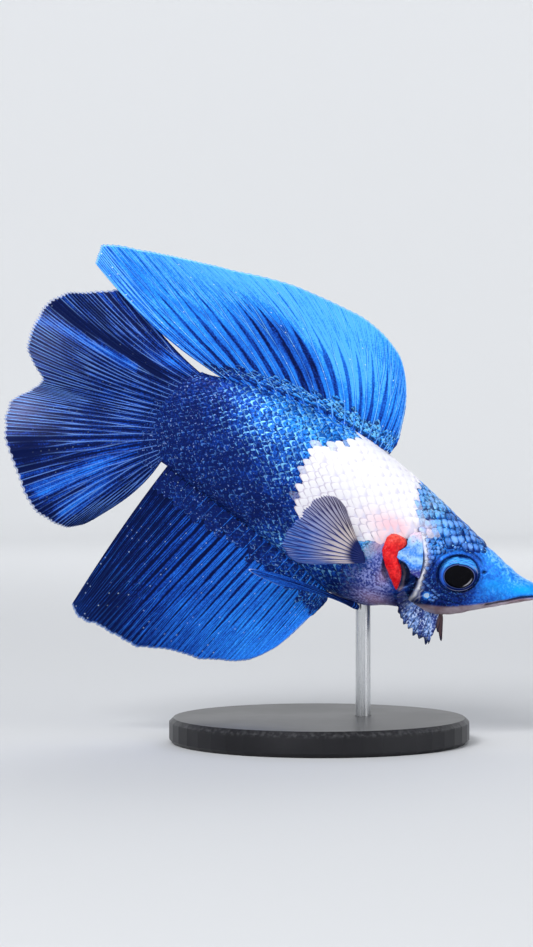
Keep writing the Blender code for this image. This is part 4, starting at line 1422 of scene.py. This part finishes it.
def anal_place(u, v):
    base_x, angle, tip_x, tip_z = table_at(ANAL_RAYS, u)
    x, z = bent_ray(base_x, station(base_x)[1] - GAP - 0.1, angle, tip_x, tip_z, v)
    return np.stack([x, 0.6 * v * v * wave(1.7, u, 2.4), z], axis=-1)


print("tables:", len(DORSAL_RAYS), len(CAUDAL_RAYS), len(ANAL_RAYS), "rays")

# %% Fin colour group
DOT_STEP = 0.95  # millimetres between the places where a dot may sit on a ray


def build_ray_pattern():
    """Lines where the rays run, the web between them, dots, clouds and streaks, from stored attributes."""
    outputs = ("Line", "Groove", "Web", "Dots", "Clouds", "Streaks", "Joints")
    net, given = new_group("fin_ray_pattern", ("Fork", "Second Fork", "Line Width"), outputs)
    ray, away, span, reach = net.attributes("ray", "out", "span", "reach")
    fork, second = given["Fork"], given["Second Fork"]
    width = net.math("MINIMUM", given["Line Width"], span * 0.22)
    first = net.remap(away, fork, fork + FORK_LENGTH, 0.0, FIRST_SPREAD)
    later = net.remap(away, second, second + FORK_LENGTH, 0.0, SECOND_SPREAD)
    centre = net.math("FRACT", ray) - 0.5
    beside = abs(centre) - first
    web = net.math("MAXIMUM", beside / (0.5 - first), beside * -4.0)
    d = abs(abs(beside) - later) * span
    line = net.remap(d, width, width * 0.3)
    # The groove, a band just beside each ray line, serves as painted shade beside the raised rays.
    wide = net.remap(d, width * 2.8, width * 1.2)
    groove = net.math("SUBTRACT", wide, line, clamp=True)

    number = net.math("FLOOR", ray)
    shift = net.node("ShaderNodeTexWhiteNoise", {"W": number}, "Value", noise_dimensions="1D")
    along = reach / DOT_STEP + shift * 7.0
    cell = net.vector(number, net.math("FLOOR", along))
    chance = net.node("ShaderNodeTexWhiteNoise", {"Vector": cell}, "Value", noise_dimensions="2D")
    off_step = (net.math("FRACT", along) - 0.5) * DOT_STEP
    from_dot = net.length(abs(centre * span), abs(off_step))
    return net.finish(
        line=line,
        groove=groove,
        web=web,
        dots=net.remap(chance, 0.6, 1.0) * net.remap(from_dot, 0.10, 0.05),
        clouds=net.noise(1.0, 3.0, net.vector(ray * 0.9, reach * 0.22)),
        streaks=net.noise(1.0, 2.0, net.vector(ray * 7.0, reach * 0.35)),
        joints=line * net.math("SINE", reach * 16.0),
    )


ray_pattern = build_ray_pattern()


def build_fin_material(name, forks, stripe, line_colour, hem_colour, line_share, dots, depth=0.55, calm=1.0):
    """stripe: where the dark stripe starts between rays, at the base and at the edge, and how much tone
    shifts it; calm: what is left of the stripes where the fin is dark."""
    net = new_material(name, coat=0.02, coat_roughness=0.25, specular=0.03)
    rays = net.group(ray_pattern, fork=forks[0], second_fork=forks[1], line_width=forks[2])
    away, ground, lilac = net.attributes("out", "tone", "lilac")
    tone = ground + net.remap(rays["Clouds"], 0.3, 0.7, -0.06, 0.06)
    start = net.remap(away, 0.0, 1.0, stripe[0], stripe[1]) + tone * stripe[2]
    frayed = rays["Web"] + net.remap(rays["Clouds"], 0.3, 0.7, -0.12, 0.12)
    # dark: the stripes between the rays, plus painted shade beside the rays from the groove.
    dark = net.math("MAXIMUM", net.remap(frayed, start, start + 0.25), rays["Groove"] * 0.5)
    dark = dark * net.remap(ground, 0.3, 0.6, calm, 1.0)
    tone = tone - dark * depth + net.remap(rays["Streaks"], 0.3, 0.7, -0.12, 0.12)
    sparkle = net.remap(net.noise(5200.0, 2.0), 0.35, 0.68, -0.07, 0.12)
    tone = net.math("ADD", tone, sparkle, clamp=True)
    blues = (0.14, NAVY), (0.32, DEEP_BLUE), (0.58, ROYAL), (0.86, AZURE), (1.0, (0.09, 0.45, 0.96, 1))
    colour = net.ramp(tone, (0.0, DEEP_NAVY), *blues)
    film = net.mix(dark, (0.20, 0.21, 0.37, 1), (0.05, 0.06, 0.17, 1))
    colour = net.mix(lilac * 0.75, colour, film)
    patchy = net.remap(rays["Clouds"], 0.35, 0.6, 0.25, 1.0) * net.remap(ground, 0.0, 0.25, 0.03, 1.0)
    line = net.math("MINIMUM", rays["Line"] * patchy * (lilac + line_share), 1.0)
    colour = net.mix(line, colour, line_colour)
    colour = net.mix(rays["Dots"] * dots, colour, (0.60, 0.76, 0.98, 1))
    hem = net.remap(net.attribute("hem"), 0.26, 0.10)
    return net.finish(
        base_color=net.mix(hem * 0.75, colour, hem_colour),
        roughness=net.remap(rays["Streaks"], 0.2, 0.8, 0.38, 0.55),
        metallic=net.remap(tone, 0.0, 0.8, 0.1, 0.3),
        normal=net.bump(rays["Joints"] * 0.25 + rays["Streaks"], 0.4, 0.06),
    )


print("group:", ray_pattern.name)

# %% Sheath scales on a fin's base
SHEATH_SEED = 91
SHEATH_ROWS_TO = 6.0  # millimetres out from the base
SHEATH_RISE, SHEATH_RISE_AT_BASE = 0.16, 0.18
SHEATH_ROW_STEP, SHEATH_REACH, SHEATH_HALF_WIDTH = 0.55, 1.25, 0.58  # in scale spacings


def sheath_surface(place, side):
    """A fin's face as a surface: millimetres out from the base, then the share along it."""

    def shares(p, q):
        return np.clip(q, 0.002, 0.998), p / ray_length(place, q)

    def normal_at(p, q):
        return sheet_normal(place, *shares(p, q), side)

    def point_at(p, q):
        rise = SHEATH_RISE + SHEATH_RISE_AT_BASE * np.exp(-np.clip(p, 0, None) / ROOT_SWELL_LENGTH)
        return place(*shares(p, q)) + normal_at(p, q) * rise[..., None]

    return point_at, normal_at


def patch_on_fin(side):
    return lambda p, q: (0.5 + 0.5 * side * q, 0.02 + 0.02 * p)


def build_sheath(name, place, base_length, depth_at, node, size=0.72):
    """Rows of small scales that climb from the body onto a fin, on both of its faces."""
    draw = np.random.default_rng(SHEATH_SEED)
    roots = []
    for row in range(int(SHEATH_ROWS_TO / (SHEATH_ROW_STEP * size))):
        p = -0.35 + row * SHEATH_ROW_STEP * size
        for step in range(int(base_length / size) + 1):
            q = (step + 0.5 * (row % 2) + draw.uniform(-0.15, 0.15)) * size / base_length
            if 0.01 < q < 0.99 and p < depth_at(q) + draw.uniform(-0.9, 0.3):
                roots.append((p + draw.uniform(-0.08, 0.08), q))
    roots = np.array(roots)
    reach = SHEATH_REACH * size * np.interp(roots[:, 0], [0.0, 5.0], [1.0, 0.72])
    half_width = reach * SHEATH_HALF_WIDTH / SHEATH_REACH / base_length
    for hand, side in SIDES:
        scales = lay_scales(
            f"{name}_sheath_{hand}", sheath_surface(place, side), roots, reach, half_width, 0.08, 0.02,
            patch_on_fin(side), SHEATH_SEED + side, all_blue=True,
        )
        settle(scales, scale_material, "blue_skin", node)


print("sheaths reach up to", SHEATH_ROWS_TO, "mm onto the fins")

# %% [markdown]
# ## Dorsal fin
#
# The dorsal fin is the brightest: azure over most of its height, with navy stripes that rise between the
# rays and fade out towards the edge, and a shadowy patch in the middle of the sail where the fin curves
# away. A sheath of small scales climbs from the back onto its base, as it does on the anal and tail fins.


# %% Dorsal fin
def paint_dorsal(x, z):
    height = np.clip((z - 8.0) / 12.0, 0, 1)
    tone = 0.65 + 0.45 * ramp(0.1, 0.75, height + 0.02 * (x + 28))
    # Painted shade: the shadowy patch in the middle of the sail, where the fin curves away.
    tone = tone - 0.55 * bump(x, z, (-31.5, 15.4), (6.2, 2.0), -12)
    tone = tone - 0.25 * bump(x, z, (-26.0, 12.6), (3.0, 2.2), -20)
    return tone - 0.26 * ramp(-23, -16, x) + 0.18 * ramp(-34, -46, x), 0 * x


dorsal = build_fin("dorsal_sail", dorsal_place, 19, (330, 140), (0.42, 0.62), 21, 0.006, paint=paint_dorsal)
dorsal_material = build_fin_material(
    "azure_fin", (0.42, 0.62, 0.08), (0.38, 0.68, 0.16), (0.24, 0.62, 0.99, 1), (0.3, 0.6, 0.97, 1),
    line_share=0.6, dots=1.0, depth=0.5, calm=0.4,
)
settle(dorsal, dorsal_material, "blue_fin", "dorsal_fin")
build_sheath("dorsal", dorsal_place, 23.3, lambda q: 1.8, "dorsal_fin")

# %% [markdown]
# ## Tail fin
#
# The tail of a halfmoon spreads to a wide fan. It is darker than the dorsal fin, partly its own navy and
# partly painted shade, with pale lilac rays, a painted shadow in one deep fold below its upper lobe, a
# painted highlight on the crest below that fold, a painted shadow low in the fan, a lavender tip in the
# middle where the web is thin, and bright blue bands low down.

# %% Tail fin
# FOLD is the line of a painted shadow in the fin's fold; CREST, below it, gets a painted highlight.
FOLD = [(-60.0, 6.7), (-57.1, 6.1), (-54.1, 5.6), (-51.2, 5.4), (-48.2, 5.2), (-45.1, 4.9), (-40.5, 4.5)]
CREST = [(-58.9, 3.5), (-57.2, 3.9), (-55.0, 4.0), (-51.9, 3.9), (-49.2, 4.0), (-45.7, 4.0)]
BANDS = [
    [(-40.6, -4.8), (-43.3, -7.6), (-46.4, -11.3), (-49.4, -15.0)],
    [(-40.7, -7.9), (-42.4, -10.4), (-44.0, -12.9), (-45.6, -16.0)],
]


def paint_caudal(x, z):
    # Painted shade in the fold and a painted shadow low down; painted highlight along the crest; the base
    # tone is partly painted shade.
    fold = near_path(x, z, FOLD, 0.62) * ramp(-39.5, -44.0, x)
    shadow = bump(x, z, (-52.8, -11.2), (4.0, 2.4), 30)
    lilac = 0.95 * bump(x, z, (-57.6, -7.2), (4.4, 2.8), 5) + 0.15 * bump(x, z, (-55.0, 0.0), (4.0, 3.5))
    lilac = lilac + 0.4 * ramp(-53.0, -58.8, x) * ramp(6.0, 3.5, z) * ramp(-13.0, -10.0, z)
    bright = sum(near_path(x, z, band, 1.0) for band in BANDS) * ramp(-39.5, -45.0, x)
    tone = 0.24 - 0.34 * fold - 0.26 * shadow + 0.38 * bright + 0.34 * near_path(x, z, CREST, 0.55)
    tone = tone - 0.08 * bump(x, z, (-54.0, 8.0), (5.0, 1.4), -12) - 0.12 * ramp(-14.0, -17.0, z)
    tone = tone + 0.06 * bump(x, z, (-44.0, 0.0), (5.0, 3.0)) + 0.3 * bump(x, z, (-42.0, 6.6), (3.0, 0.8), 5)
    return tone, lilac * (1 - fold) * (1 - shadow)


def caudal_sheath_depth(q):
    return 1.2 + 3.6 * (1 - (2 * q - 1) ** 2)


caudal = build_fin(
    "tail_fan", caudal_place, 24, (360, 128), (0.2, 0.5), 31, 0.010, rib=0.14, paint=paint_caudal
)
caudal_material = build_fin_material(
    "lilac_rayed_fin", (0.2, 0.5, 0.09), (0.5, 0.6, 0.15), (0.15, 0.30, 0.68, 1), (0.6, 0.66, 0.85, 1),
    line_share=0.55, dots=0.12, depth=0.30,
)
settle(caudal, caudal_material, "blue_fin", "caudal_fin")
build_sheath("caudal", caudal_place, 11.7, caudal_sheath_depth, "caudal_fin", size=0.6)

# %% [markdown]
# ## Anal fin
#
# The anal fin hangs like a curtain below the body. Its web is striped dark between some thirty rays, its
# rear third is navy, and it brightens towards the lower front corner.

# %% Anal fin
ANAL_TONE_XS = [-38.0, -35.5, -33.0, -30.0, -27.0, -23.0, -19.0]
ANAL_TONES = [0.10, 0.14, 0.23, 0.36, 0.46, 0.57, 0.70]


def paint_anal(x, z):
    tone = np.interp(x + 0.06 * (z + 18), ANAL_TONE_XS, ANAL_TONES)
    tone = tone + 0.10 * ramp(-17.0, -13.0, x + 0.4 * (z + 14)) - 0.05 * ramp(-20.0, -24.0, z)
    return tone + 0.08 * ramp(-15.0, -21.0, z) * ramp(-34, -27, x) - 0.12 * ramp(-10.5, -8.0, z), 0 * x


anal = build_fin(
    "anal_curtain", anal_place, 31, (350, 132), (0.55, 0.8), 41, 0.009, rib=0.12, paint=paint_anal
)
anal_material = build_fin_material(
    "striped_fin", (0.55, 0.8, 0.07), (0.48, 0.62, 0.2), (0.03, 0.22, 0.86, 1), (0.3, 0.45, 0.85, 1),
    line_share=0.4, dots=0.45,
)
settle(anal, anal_material, "blue_fin", "anal_fin")
build_sheath("anal", anal_place, 24.5, lambda q: 2.8, "anal_fin")

# %% [markdown]
# ## Paired fins
#
# The pectoral fins are what a betta rows with, and they are almost clear: dark paired rays in a lilac
# film, so their material lets light through between the rays. The pelvic fins are two slender blue blades
# with a pale leading edge. Each pair is built once for each side by mirroring its place function.

# %% Pectoral and pelvic fins
UNFORKED = (2.0, 3.0)  # forks that lie beyond the edge
PECTORAL_SPREAD = math.tan(math.radians(32.0))
PELVIC_SPREAD = math.radians(9.0)


def flank_y(x, z):
    back, belly, half, level, boxy = station(x)
    reach = np.where(z > level, back - level, level - belly)
    share = np.clip(np.abs(z - level) / reach, 0, 1)
    return half * (1 - share**boxy) ** (1 / boxy)


def pectoral_place(side):
    def place(u, v):
        base_x, base_z, tip_x, tip_z = table_at(PECTORAL_RAYS, u)
        x, z = between(base_x, tip_x, v), between(base_z, tip_z, v)
        out = flank_y(base_x, base_z) + GAP + 0.25 + (base_x - x) * PECTORAL_SPREAD
        return np.stack([x, side * (out + 0.35 * v * np.sin(math.pi * np.clip(u, 0, 1))), z], axis=-1)

    return place


def pelvic_place(side):
    def place(u, v):
        base_x, base_z, angle, length = table_at(PELVIC_RAYS, u)
        angle = np.radians(angle - 5.0 * v)
        x = base_x - v * length * np.cos(angle) * math.cos(PELVIC_SPREAD)
        y = 1.35 + v * length * math.sin(PELVIC_SPREAD) + 0.5 * (1 - u) * (1 - v)
        return np.stack([x, side * y, base_z + v * length * np.sin(angle) - GAP], axis=-1)

    return place


def paint_pelvic(x, z):
    return 0.28 + 0.2 * ramp(-12, -20, x), 0 * x


def build_clear_material():
    net = new_material("clear_lilac_fin", coat=0.15, coat_roughness=0.15)
    rays = net.group(ray_pattern, fork=0.3, second_fork=0.66, line_width=0.11)
    away, base = net.attributes("out", "base")
    film = net.mix(net.remap(base, 0.25, 0.6), (0.50, 0.49, 0.70, 1), (0.10, 0.26, 0.84, 1))
    film = net.mix(net.remap(away, 0.75, 0.3), film, (0.78, 0.68, 0.62, 1))
    film = net.mix(net.remap(rays["Streaks"], 0.45, 0.7, 0.0, 0.6), film, (0.62, 0.60, 0.80, 1))
    dark = net.mix(net.remap(base, 0.1, 0.6), (0.035, 0.022, 0.07, 1), (0.015, 0.03, 0.20, 1))
    line = net.math("MAXIMUM", rays["Line"], net.remap(away, 0.16, 0.02))
    # Painted shade beside the rays, from the groove.
    line = net.math("MAXIMUM", line, rays["Groove"] * 0.3)
    clear = line * 0.45 + net.remap(rays["Streaks"], 0.3, 0.7, 0.42, 0.68)
    clear = clear + net.remap(away, 0.7, 0.3, 0.0, 0.3)
    return net.finish(
        base_color=net.mix(net.remap(away, 0.24, 0.12), net.mix(line, film, dark), NAVY),
        alpha=net.math("MINIMUM", clear, 1.0),
        roughness=net.remap(rays["Streaks"], 0.2, 0.8, 0.25, 0.45),
        normal=net.bump(rays["Line"], 0.3, 0.05),
    )


clear_material = build_clear_material()
pelvic_material = build_fin_material(
    "pelvic_blue", (0.9, 1.2, 0.12), (0.7, 0.8, 0.1), (0.05, 0.22, 0.8, 1), (0.55, 0.62, 0.9, 1),
    line_share=0.4, dots=0.0,
)
for hand, side in SIDES:
    fan = build_fin(
        "pectoral_fan_" + hand, pectoral_place(side), 13, (150, 60), (0.3, 0.66), 51, 0.03, web=0.03, rib=0.09
    )
    settle(fan, clear_material, "lilac_fin", "pectoral_fin_" + hand)
    blade = build_fin(
        "pelvic_blade_" + hand, pelvic_place(side), 4, (40, 90), UNFORKED, 61, 0.0, web=0.06, rib=0.14,
        paint=paint_pelvic,
    )
    settle(blade, pelvic_material, "blue_fin", "pelvic_fin_" + hand)

# %% [markdown]
# ## Gills
#
# The gill cover stands open, and behind it shows the gill, blood red: a soft crescent made of some fifty
# fine filaments side by side. Its two edges are drawn; a flat tube is stretched between them and
# close furrows are pressed into it. Colour and gloss are those of wet flesh.

# %% Red gills
GILL_LEAF = [  # from its top: rear edge x, z; front edge x, z
    (-8.95, 1.30, -8.75, 1.35), (-9.45, 0.95, -7.60, 1.30), (-9.65, 0.20, -7.10, 0.75),
    (-9.60, -0.70, -7.45, -0.20), (-9.20, -1.60, -7.30, -1.10), (-8.40, -2.55, -6.65, -1.80),
    (-7.45, -3.45, -6.05, -2.80), (-6.55, -4.20, -5.75, -3.90), (-5.80, -4.85, -5.65, -4.75),
]
GILL_SWELL = 0.62
GILL_FILAMENTS = 52


def build_gill_material():
    net = new_material("wet_gill", coat=0.2, coat_roughness=0.12)
    comb, depth = net.attributes("comb", "depth")
    patch = net.noise(1400.0, 3.0)
    granule = net.cells(3400.0)
    colour = net.mix(net.remap(patch, 0.35, 0.65), (0.76, 0.004, 0.012, 1), (0.98, 0.035, 0.035, 1))
    colour = net.mix(net.attribute("crown"), colour, (1.0, 0.11, 0.075, 1))
    colour = net.mix(net.remap(granule, 0.35, 0.7, 0.0, 0.45), colour, (0.42, 0.0, 0.008, 1))
    # Painted shade in the furrows between the filaments.
    colour = net.mix(comb * 0.3, colour, (0.38, 0.0, 0.01, 1))
    # Painted shade: the gill's deep side, towards the hollow, is darkened.
    return net.finish(
        base_color=net.mix(depth, colour, (0.22, 0.002, 0.012, 1)),
        roughness=net.remap(patch, 0.3, 0.7, 0.25, 0.45),
        normal=net.bump(granule, 0.6, 0.08),
    )


def build_gill(hand, side, material):
    gill, share, t = new_net("gill_filaments_" + hand, 72, 190)
    rear_x, rear_z, front_x, front_z = table_at(GILL_LEAF, t)
    around = 2 * math.pi * share
    close = np.clip(np.minimum(t, 1 - t) / 0.04, 0, 1) ** 0.5
    spread, rise = 0.5 * np.cos(around) * close, np.sin(around)
    filament = t * GILL_FILAMENTS + 0.9 * spread + 0.12 * grain(t * 30, spread * 4, seed=3)
    comb = 0.5 + 0.5 * np.cos(2 * math.pi * filament)
    furrow = 1 - 0.07 * comb * ramp(0.1, 0.35, t) + 0.06 * grain(spread * 9, t * 24, seed=4)
    x = (rear_x + front_x) / 2 + (front_x - rear_x) * spread * furrow
    z = (rear_z + front_z) / 2 + (front_z - rear_z) * spread * furrow
    width = np.hypot(front_x - rear_x, front_z - rear_z)
    swell = GILL_SWELL * np.clip(width / 1.6, 0, 1) * close * furrow
    bulge = np.sign(rise) * np.abs(rise) ** 0.8
    put(gill, np.stack([x, side * (flank_y(x, z) + 0.05 + swell * bulge), z], axis=-1))
    # comb marks the furrows and depth the gill's deep side; the material paints shade into both.
    tag(gill, comb=comb, crown=ramp(0.36, 0.1, t), depth=ramp(0.35, -0.6, rise) * 0.9)
    close_seams(gill)
    settle(gill, material, "red_gill", "gill_" + hand)


gill_material = build_gill_material()
for hand, side in SIDES:
    build_gill(hand, side, gill_material)

# %% [markdown]
# ## Gill cover flap and beard
#
# Two soft sheets finish the head. A pale blue flap of skin hangs from the cheek over the upper gill.
# Below the throat, the gill membrane, which breeders call the beard, spreads when a betta shows off: a
# speckled skirt with stiff ribs and a dark ragged hem. Both are two-sided grids like the fins.

# %% Flap and beard
FLAP_EDGE = [  # along the flap's free edge from its top: x, z
    (-6.8, 2.5), (-7.3, 2.0), (-7.35, 1.3), (-7.15, 0.7), (-7.45, 0.0), (-7.8, -0.6), (-7.5, -1.1),
    (-6.6, -1.15), (-5.8, -1.5), (-5.1, -2.1),
]
BEARD_FLARE = 0.9
ROSE, SKY = (0.80, 0.62, 0.74, 1), (0.35, 0.62, 0.95, 1)
FLAP_AZURE, VIOLET = (0.05, 0.26, 0.86, 1), (0.05, 0.05, 0.28, 1)


def flap_place(side):
    def place(u, v):
        edge_x, edge_z = table_at(FLAP_EDGE, u)
        root_z = 2.7 - 5.0 * u
        root_x = behind_cover(0.12, root_z)
        x, z = between(root_x, edge_x, v), between(root_z, edge_z, v)
        pleats = 0.10 * np.sin(3 * math.pi * u) + 0.05 * np.sin(23 * u + 4 * v)
        y = flank_y(x, z) + 0.05 + 0.42 * v + pleats * v
        return np.stack([x, side * y, z], axis=-1)

    return place


def beard_place(side):
    def place(u, v):
        root_x, root_z, hem_x, hem_z = table_at(BEARD_RAYS, u)
        swell = np.sin(0.5 * math.pi * np.clip(v, -0.2, 1)) * np.sin(math.pi * np.clip(u, 0, 1)) ** 0.6
        pleats = 0.14 * np.sin(4.5 * math.pi * u + 0.8) * np.clip(v, 0, 1)
        y = np.maximum(flank_y(root_x, root_z), 0.9) + BEARD_FLARE * swell + pleats
        return np.stack([between(root_x, hem_x, v), side * y, between(root_z, hem_z, v)], axis=-1)

    return place


def build_flap_material():
    net = new_material("gill_cover_skin", coat=0.08, coat_roughness=0.15)
    fleck = net.noise(4200.0, 2.0)
    drift = net.noise(500.0, 2.0)
    at = net.attribute("base") + net.remap(drift, 0.3, 0.7, -0.12, 0.12)
    stops = (0.1, ROSE), (0.24, SKY), (0.38, FLAP_AZURE), (0.54, SKY), (0.68, FLAP_AZURE), (0.95, VIOLET)
    colour = net.ramp(at, *stops)
    colour = net.mix(net.remap(fleck, 0.52, 0.7, 0.0, 0.4), colour, (0.55, 0.75, 0.96, 1))
    colour = net.mix(net.remap(fleck, 0.46, 0.32, 0.0, 0.5), colour, (0.01, 0.04, 0.36, 1))
    return net.finish(
        base_color=colour, roughness=net.remap(fleck, 0.3, 0.7, 0.3, 0.45), normal=net.bump(fleck, 0.5, 0.06)
    )


def build_beard_material():
    net = new_material("gill_membrane_skin", coat=0.05, coat_roughness=0.2)
    rays = net.group(ray_pattern, fork=2.0, second_fork=3.0, line_width=0.1)
    away, base = net.attributes("out", "base")
    spots = net.noise(3400.0, 2.0)
    drift = net.noise(800.0, 2.0)
    colour = net.mix(net.remap(drift, 0.4, 0.6), (0.035, 0.065, 0.27, 1), (0.16, 0.28, 0.62, 1))
    colour = net.mix(net.remap(spots, 0.52, 0.64, 0.0, 0.8), colour, (0.55, 0.66, 0.92, 1))
    colour = net.mix(net.remap(spots, 0.47, 0.36, 0.0, 0.85), colour, (0.01, 0.015, 0.08, 1))
    colour = net.mix(net.remap(base, 0.30, 0.12, 0.0, 0.9), colour, (0.008, 0.012, 0.07, 1))
    colour = net.mix(net.remap(base, 0.76, 0.84), colour, (0.06, 0.035, 0.04, 1))
    hem = net.remap(away + net.remap(spots, 0.3, 0.7, -0.06, 0.06), 0.82, 0.92)
    dark = net.math("MAXIMUM", rays["Line"] * net.remap(away, 0.1, 0.8, 0.3, 1.0), hem)
    return net.finish(
        base_color=net.mix(dark * 0.85, colour, INK_AND_SHADE),
        roughness=net.remap(spots, 0.3, 0.7, 0.35, 0.5),
        normal=net.bump(spots, 0.5, 0.08),
    )


flap_material, beard_material = build_flap_material(), build_beard_material()
for hand, side in SIDES:
    flap = build_fin(
        "gill_flap_" + hand, flap_place(side), 3, (70, 40), UNFORKED, 71, 0.02, web=0.08, rib=0.02, root=0.1
    )
    settle(flap, flap_material, "blue_skin", "gill_cover_" + hand)
    beard = build_fin(
        "beard_" + hand, beard_place(side), 14, (110, 50), UNFORKED, 81, 0.12, web=0.07, rib=0.08, root=0.15
    )
    settle(beard, beard_material, "jaw_skin", "gill_membrane_" + hand)

# %% [markdown]
# ## Display stand
#
# The fish is a still model, so it needs a stand, as in a museum case: one slim steel rod on a black disc.
# Both solids have the right shape already and stay. They only get better finishes: steel drawn
# lengthwise, with faint scratches along it, and a satin black that wears a little pale along its rim.

# %% Stand finishes
base_low, base_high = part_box("stand_base")
BASE_CENTRE = (base_low + base_high) / 2
BASE_RADIUS = (base_high.x - base_low.x) / 2
RIM_WEAR = (0.0007, 0.0001)  # metres inside the disc's edge between which the wear sets in
TOP_WEAR = (0.0009, 0.0003)  # and metres below its top


def build_steel():
    net = new_material("drawn_steel")
    stretched = net.node("ShaderNodeMapping", {"Vector": net.place(), "Scale": (1.0, 1.0, 0.04)})
    hair = net.noise(9000.0, 4.0, stretched)
    smear = net.noise(240.0, 2.0)
    return net.finish(
        base_color=net.mix(hair, (0.46, 0.47, 0.49, 1), (0.68, 0.69, 0.70, 1)),
        metallic=1.0,
        roughness=net.remap(hair, 0.3, 0.7, 0.16, 0.3) + smear * 0.1,
        normal=net.bump(hair, 0.15, 0.02),
    )


def build_black():
    net = new_material("satin_black", coat=0.15, coat_roughness=0.3)
    split = net.tree.nodes.new("ShaderNodeSeparateXYZ")
    net.feed(split.inputs[0], net.place())
    x, y, z = net.outputs(split).values()
    speck = net.noise(2200.0, 4.0)
    cloud = net.noise(90.0, 3.0)
    radius = net.length(x - BASE_CENTRE.x, y)
    rim = net.remap(radius, *(BASE_RADIUS - inset for inset in RIM_WEAR)) * net.remap(speck, 0.4, 0.7)
    rim = rim * net.remap(z, *(base_high.z - inset for inset in TOP_WEAR))
    colour = net.mix(net.remap(cloud, 0.3, 0.7), (0.012, 0.012, 0.014, 1), (0.022, 0.022, 0.025, 1))
    return net.finish(
        base_color=net.mix(rim * 0.5, colour, (0.10, 0.10, 0.105, 1)),
        roughness=net.remap(cloud, 0.3, 0.7, 0.34, 0.42),
    )


for node, material in (("stand_rod", build_steel()), ("stand_base", build_black())):
    solid = bpy.data.objects[node]
    solid.data.materials.clear()
    solid.data.materials.append(material)
    print(node, "wears", material.name)

# %% [markdown]
# ## Room, lights and camera
#
# The model stands in a plain pale bowl, so that no edge of a floor or wall shows from any side. Its far
# walls glow softly, like the cloth of a light tent, so that they stay pale all round. Light comes from
# three large soft panels: a key above and in front to the left, a wide fill on the right, and one from
# behind that catches the edges of the fins. The camera stands level with the fish, thirty centimetres in
# front of it.

# %% Pale bowl
BOWL_RADIUS, BOWL_CURVE, BOWL_WALL = 1.5, 0.45, 1.1
GLOW_FROM, GLOW_FULL, GLOW = 0.1, 1.3, 0.36


def build_room_material():
    net = new_material("pale_room")
    colour = net.mix(net.noise(2.0), (0.60, 0.61, 0.63, 1), (0.62, 0.63, 0.645, 1))
    distance = net.node("ShaderNodeVectorMath", {0: net.place()}, "Value", operation="LENGTH")
    glow = net.mix(net.remap(distance, GLOW_FROM, GLOW_FULL), (0, 0, 0, 1), (0.97, 0.985, 1.0, 1))
    return net.finish(base_color=colour, roughness=0.9, emission_color=glow, emission_strength=GLOW)


bowl, turn_share, out_share = new_net("pale_bowl", 96, 40)
flat_length = BOWL_RADIUS - BOWL_CURVE
arc_length = BOWL_CURVE * math.pi / 2
run = out_share * (flat_length + arc_length + BOWL_WALL)
bend = np.clip((run - flat_length) / BOWL_CURVE, 0, math.pi / 2)
radius = np.minimum(run, flat_length) + BOWL_CURVE * np.sin(bend)
height = BOWL_CURVE * (1 - np.cos(bend)) + np.clip(run - flat_length - arc_length, 0, None)
angle = 2 * math.pi * turn_share
spots = np.stack([radius * np.cos(angle), radius * np.sin(angle), height + solid_bounds[0][2]], axis=-1)
bowl.data.vertices.foreach_set("co", spots.ravel())
close_seams(bowl)
with edit_mode(bowl):
    bpy.ops.mesh.flip_normals()
bowl.data.materials.append(build_room_material())
print("bowl radius:", BOWL_RADIUS, "m")

# %% Lights
AIM_AT = Vector((0.0, 0.0, 0.03))
PANELS = {  # where, how wide in metres, how many watts
    "key_panel": ((-0.28, -0.55, 0.50), 0.30, 4.5),
    "fill_panel": ((0.6, -0.45, 0.25), 0.5, 1.2),
    "back_panel": ((0.1, 0.6, 0.5), 0.5, 1.6),
}
for name, (at, size, power) in PANELS.items():
    deselect_all()
    bpy.ops.object.light_add(type="AREA", location=at)
    light = bpy.context.object
    light.name = name
    light.data.size, light.data.energy = size, power
    light.rotation_euler = (AIM_AT - Vector(at)).to_track_quat("-Z", "Y").to_euler()
world = bpy.data.worlds.new("soft_room")
world.use_nodes = True
world.node_tree.nodes["Background"].inputs["Color"].default_value = (0.93, 0.96, 1.0, 1)
world.node_tree.nodes["Background"].inputs["Strength"].default_value = 0.30
bpy.context.scene.world = world
bpy.context.scene.view_settings.view_transform = "Standard"
print("three soft panels and an even sky")

# %% Camera
CAMERA_AT = (-0.00041, -0.300, 0.03218)
deselect_all()
bpy.ops.object.camera_add(location=CAMERA_AT, rotation=(math.pi / 2, 0, 0))
camera = bpy.context.object
camera.name = "level_camera"
camera.data.sensor_width, camera.data.lens = 36.0, 95.04
camera.data.clip_start, camera.data.clip_end = 0.01, 10.0
bpy.context.scene.camera = camera
print("lens:", camera.data.lens, "mm")
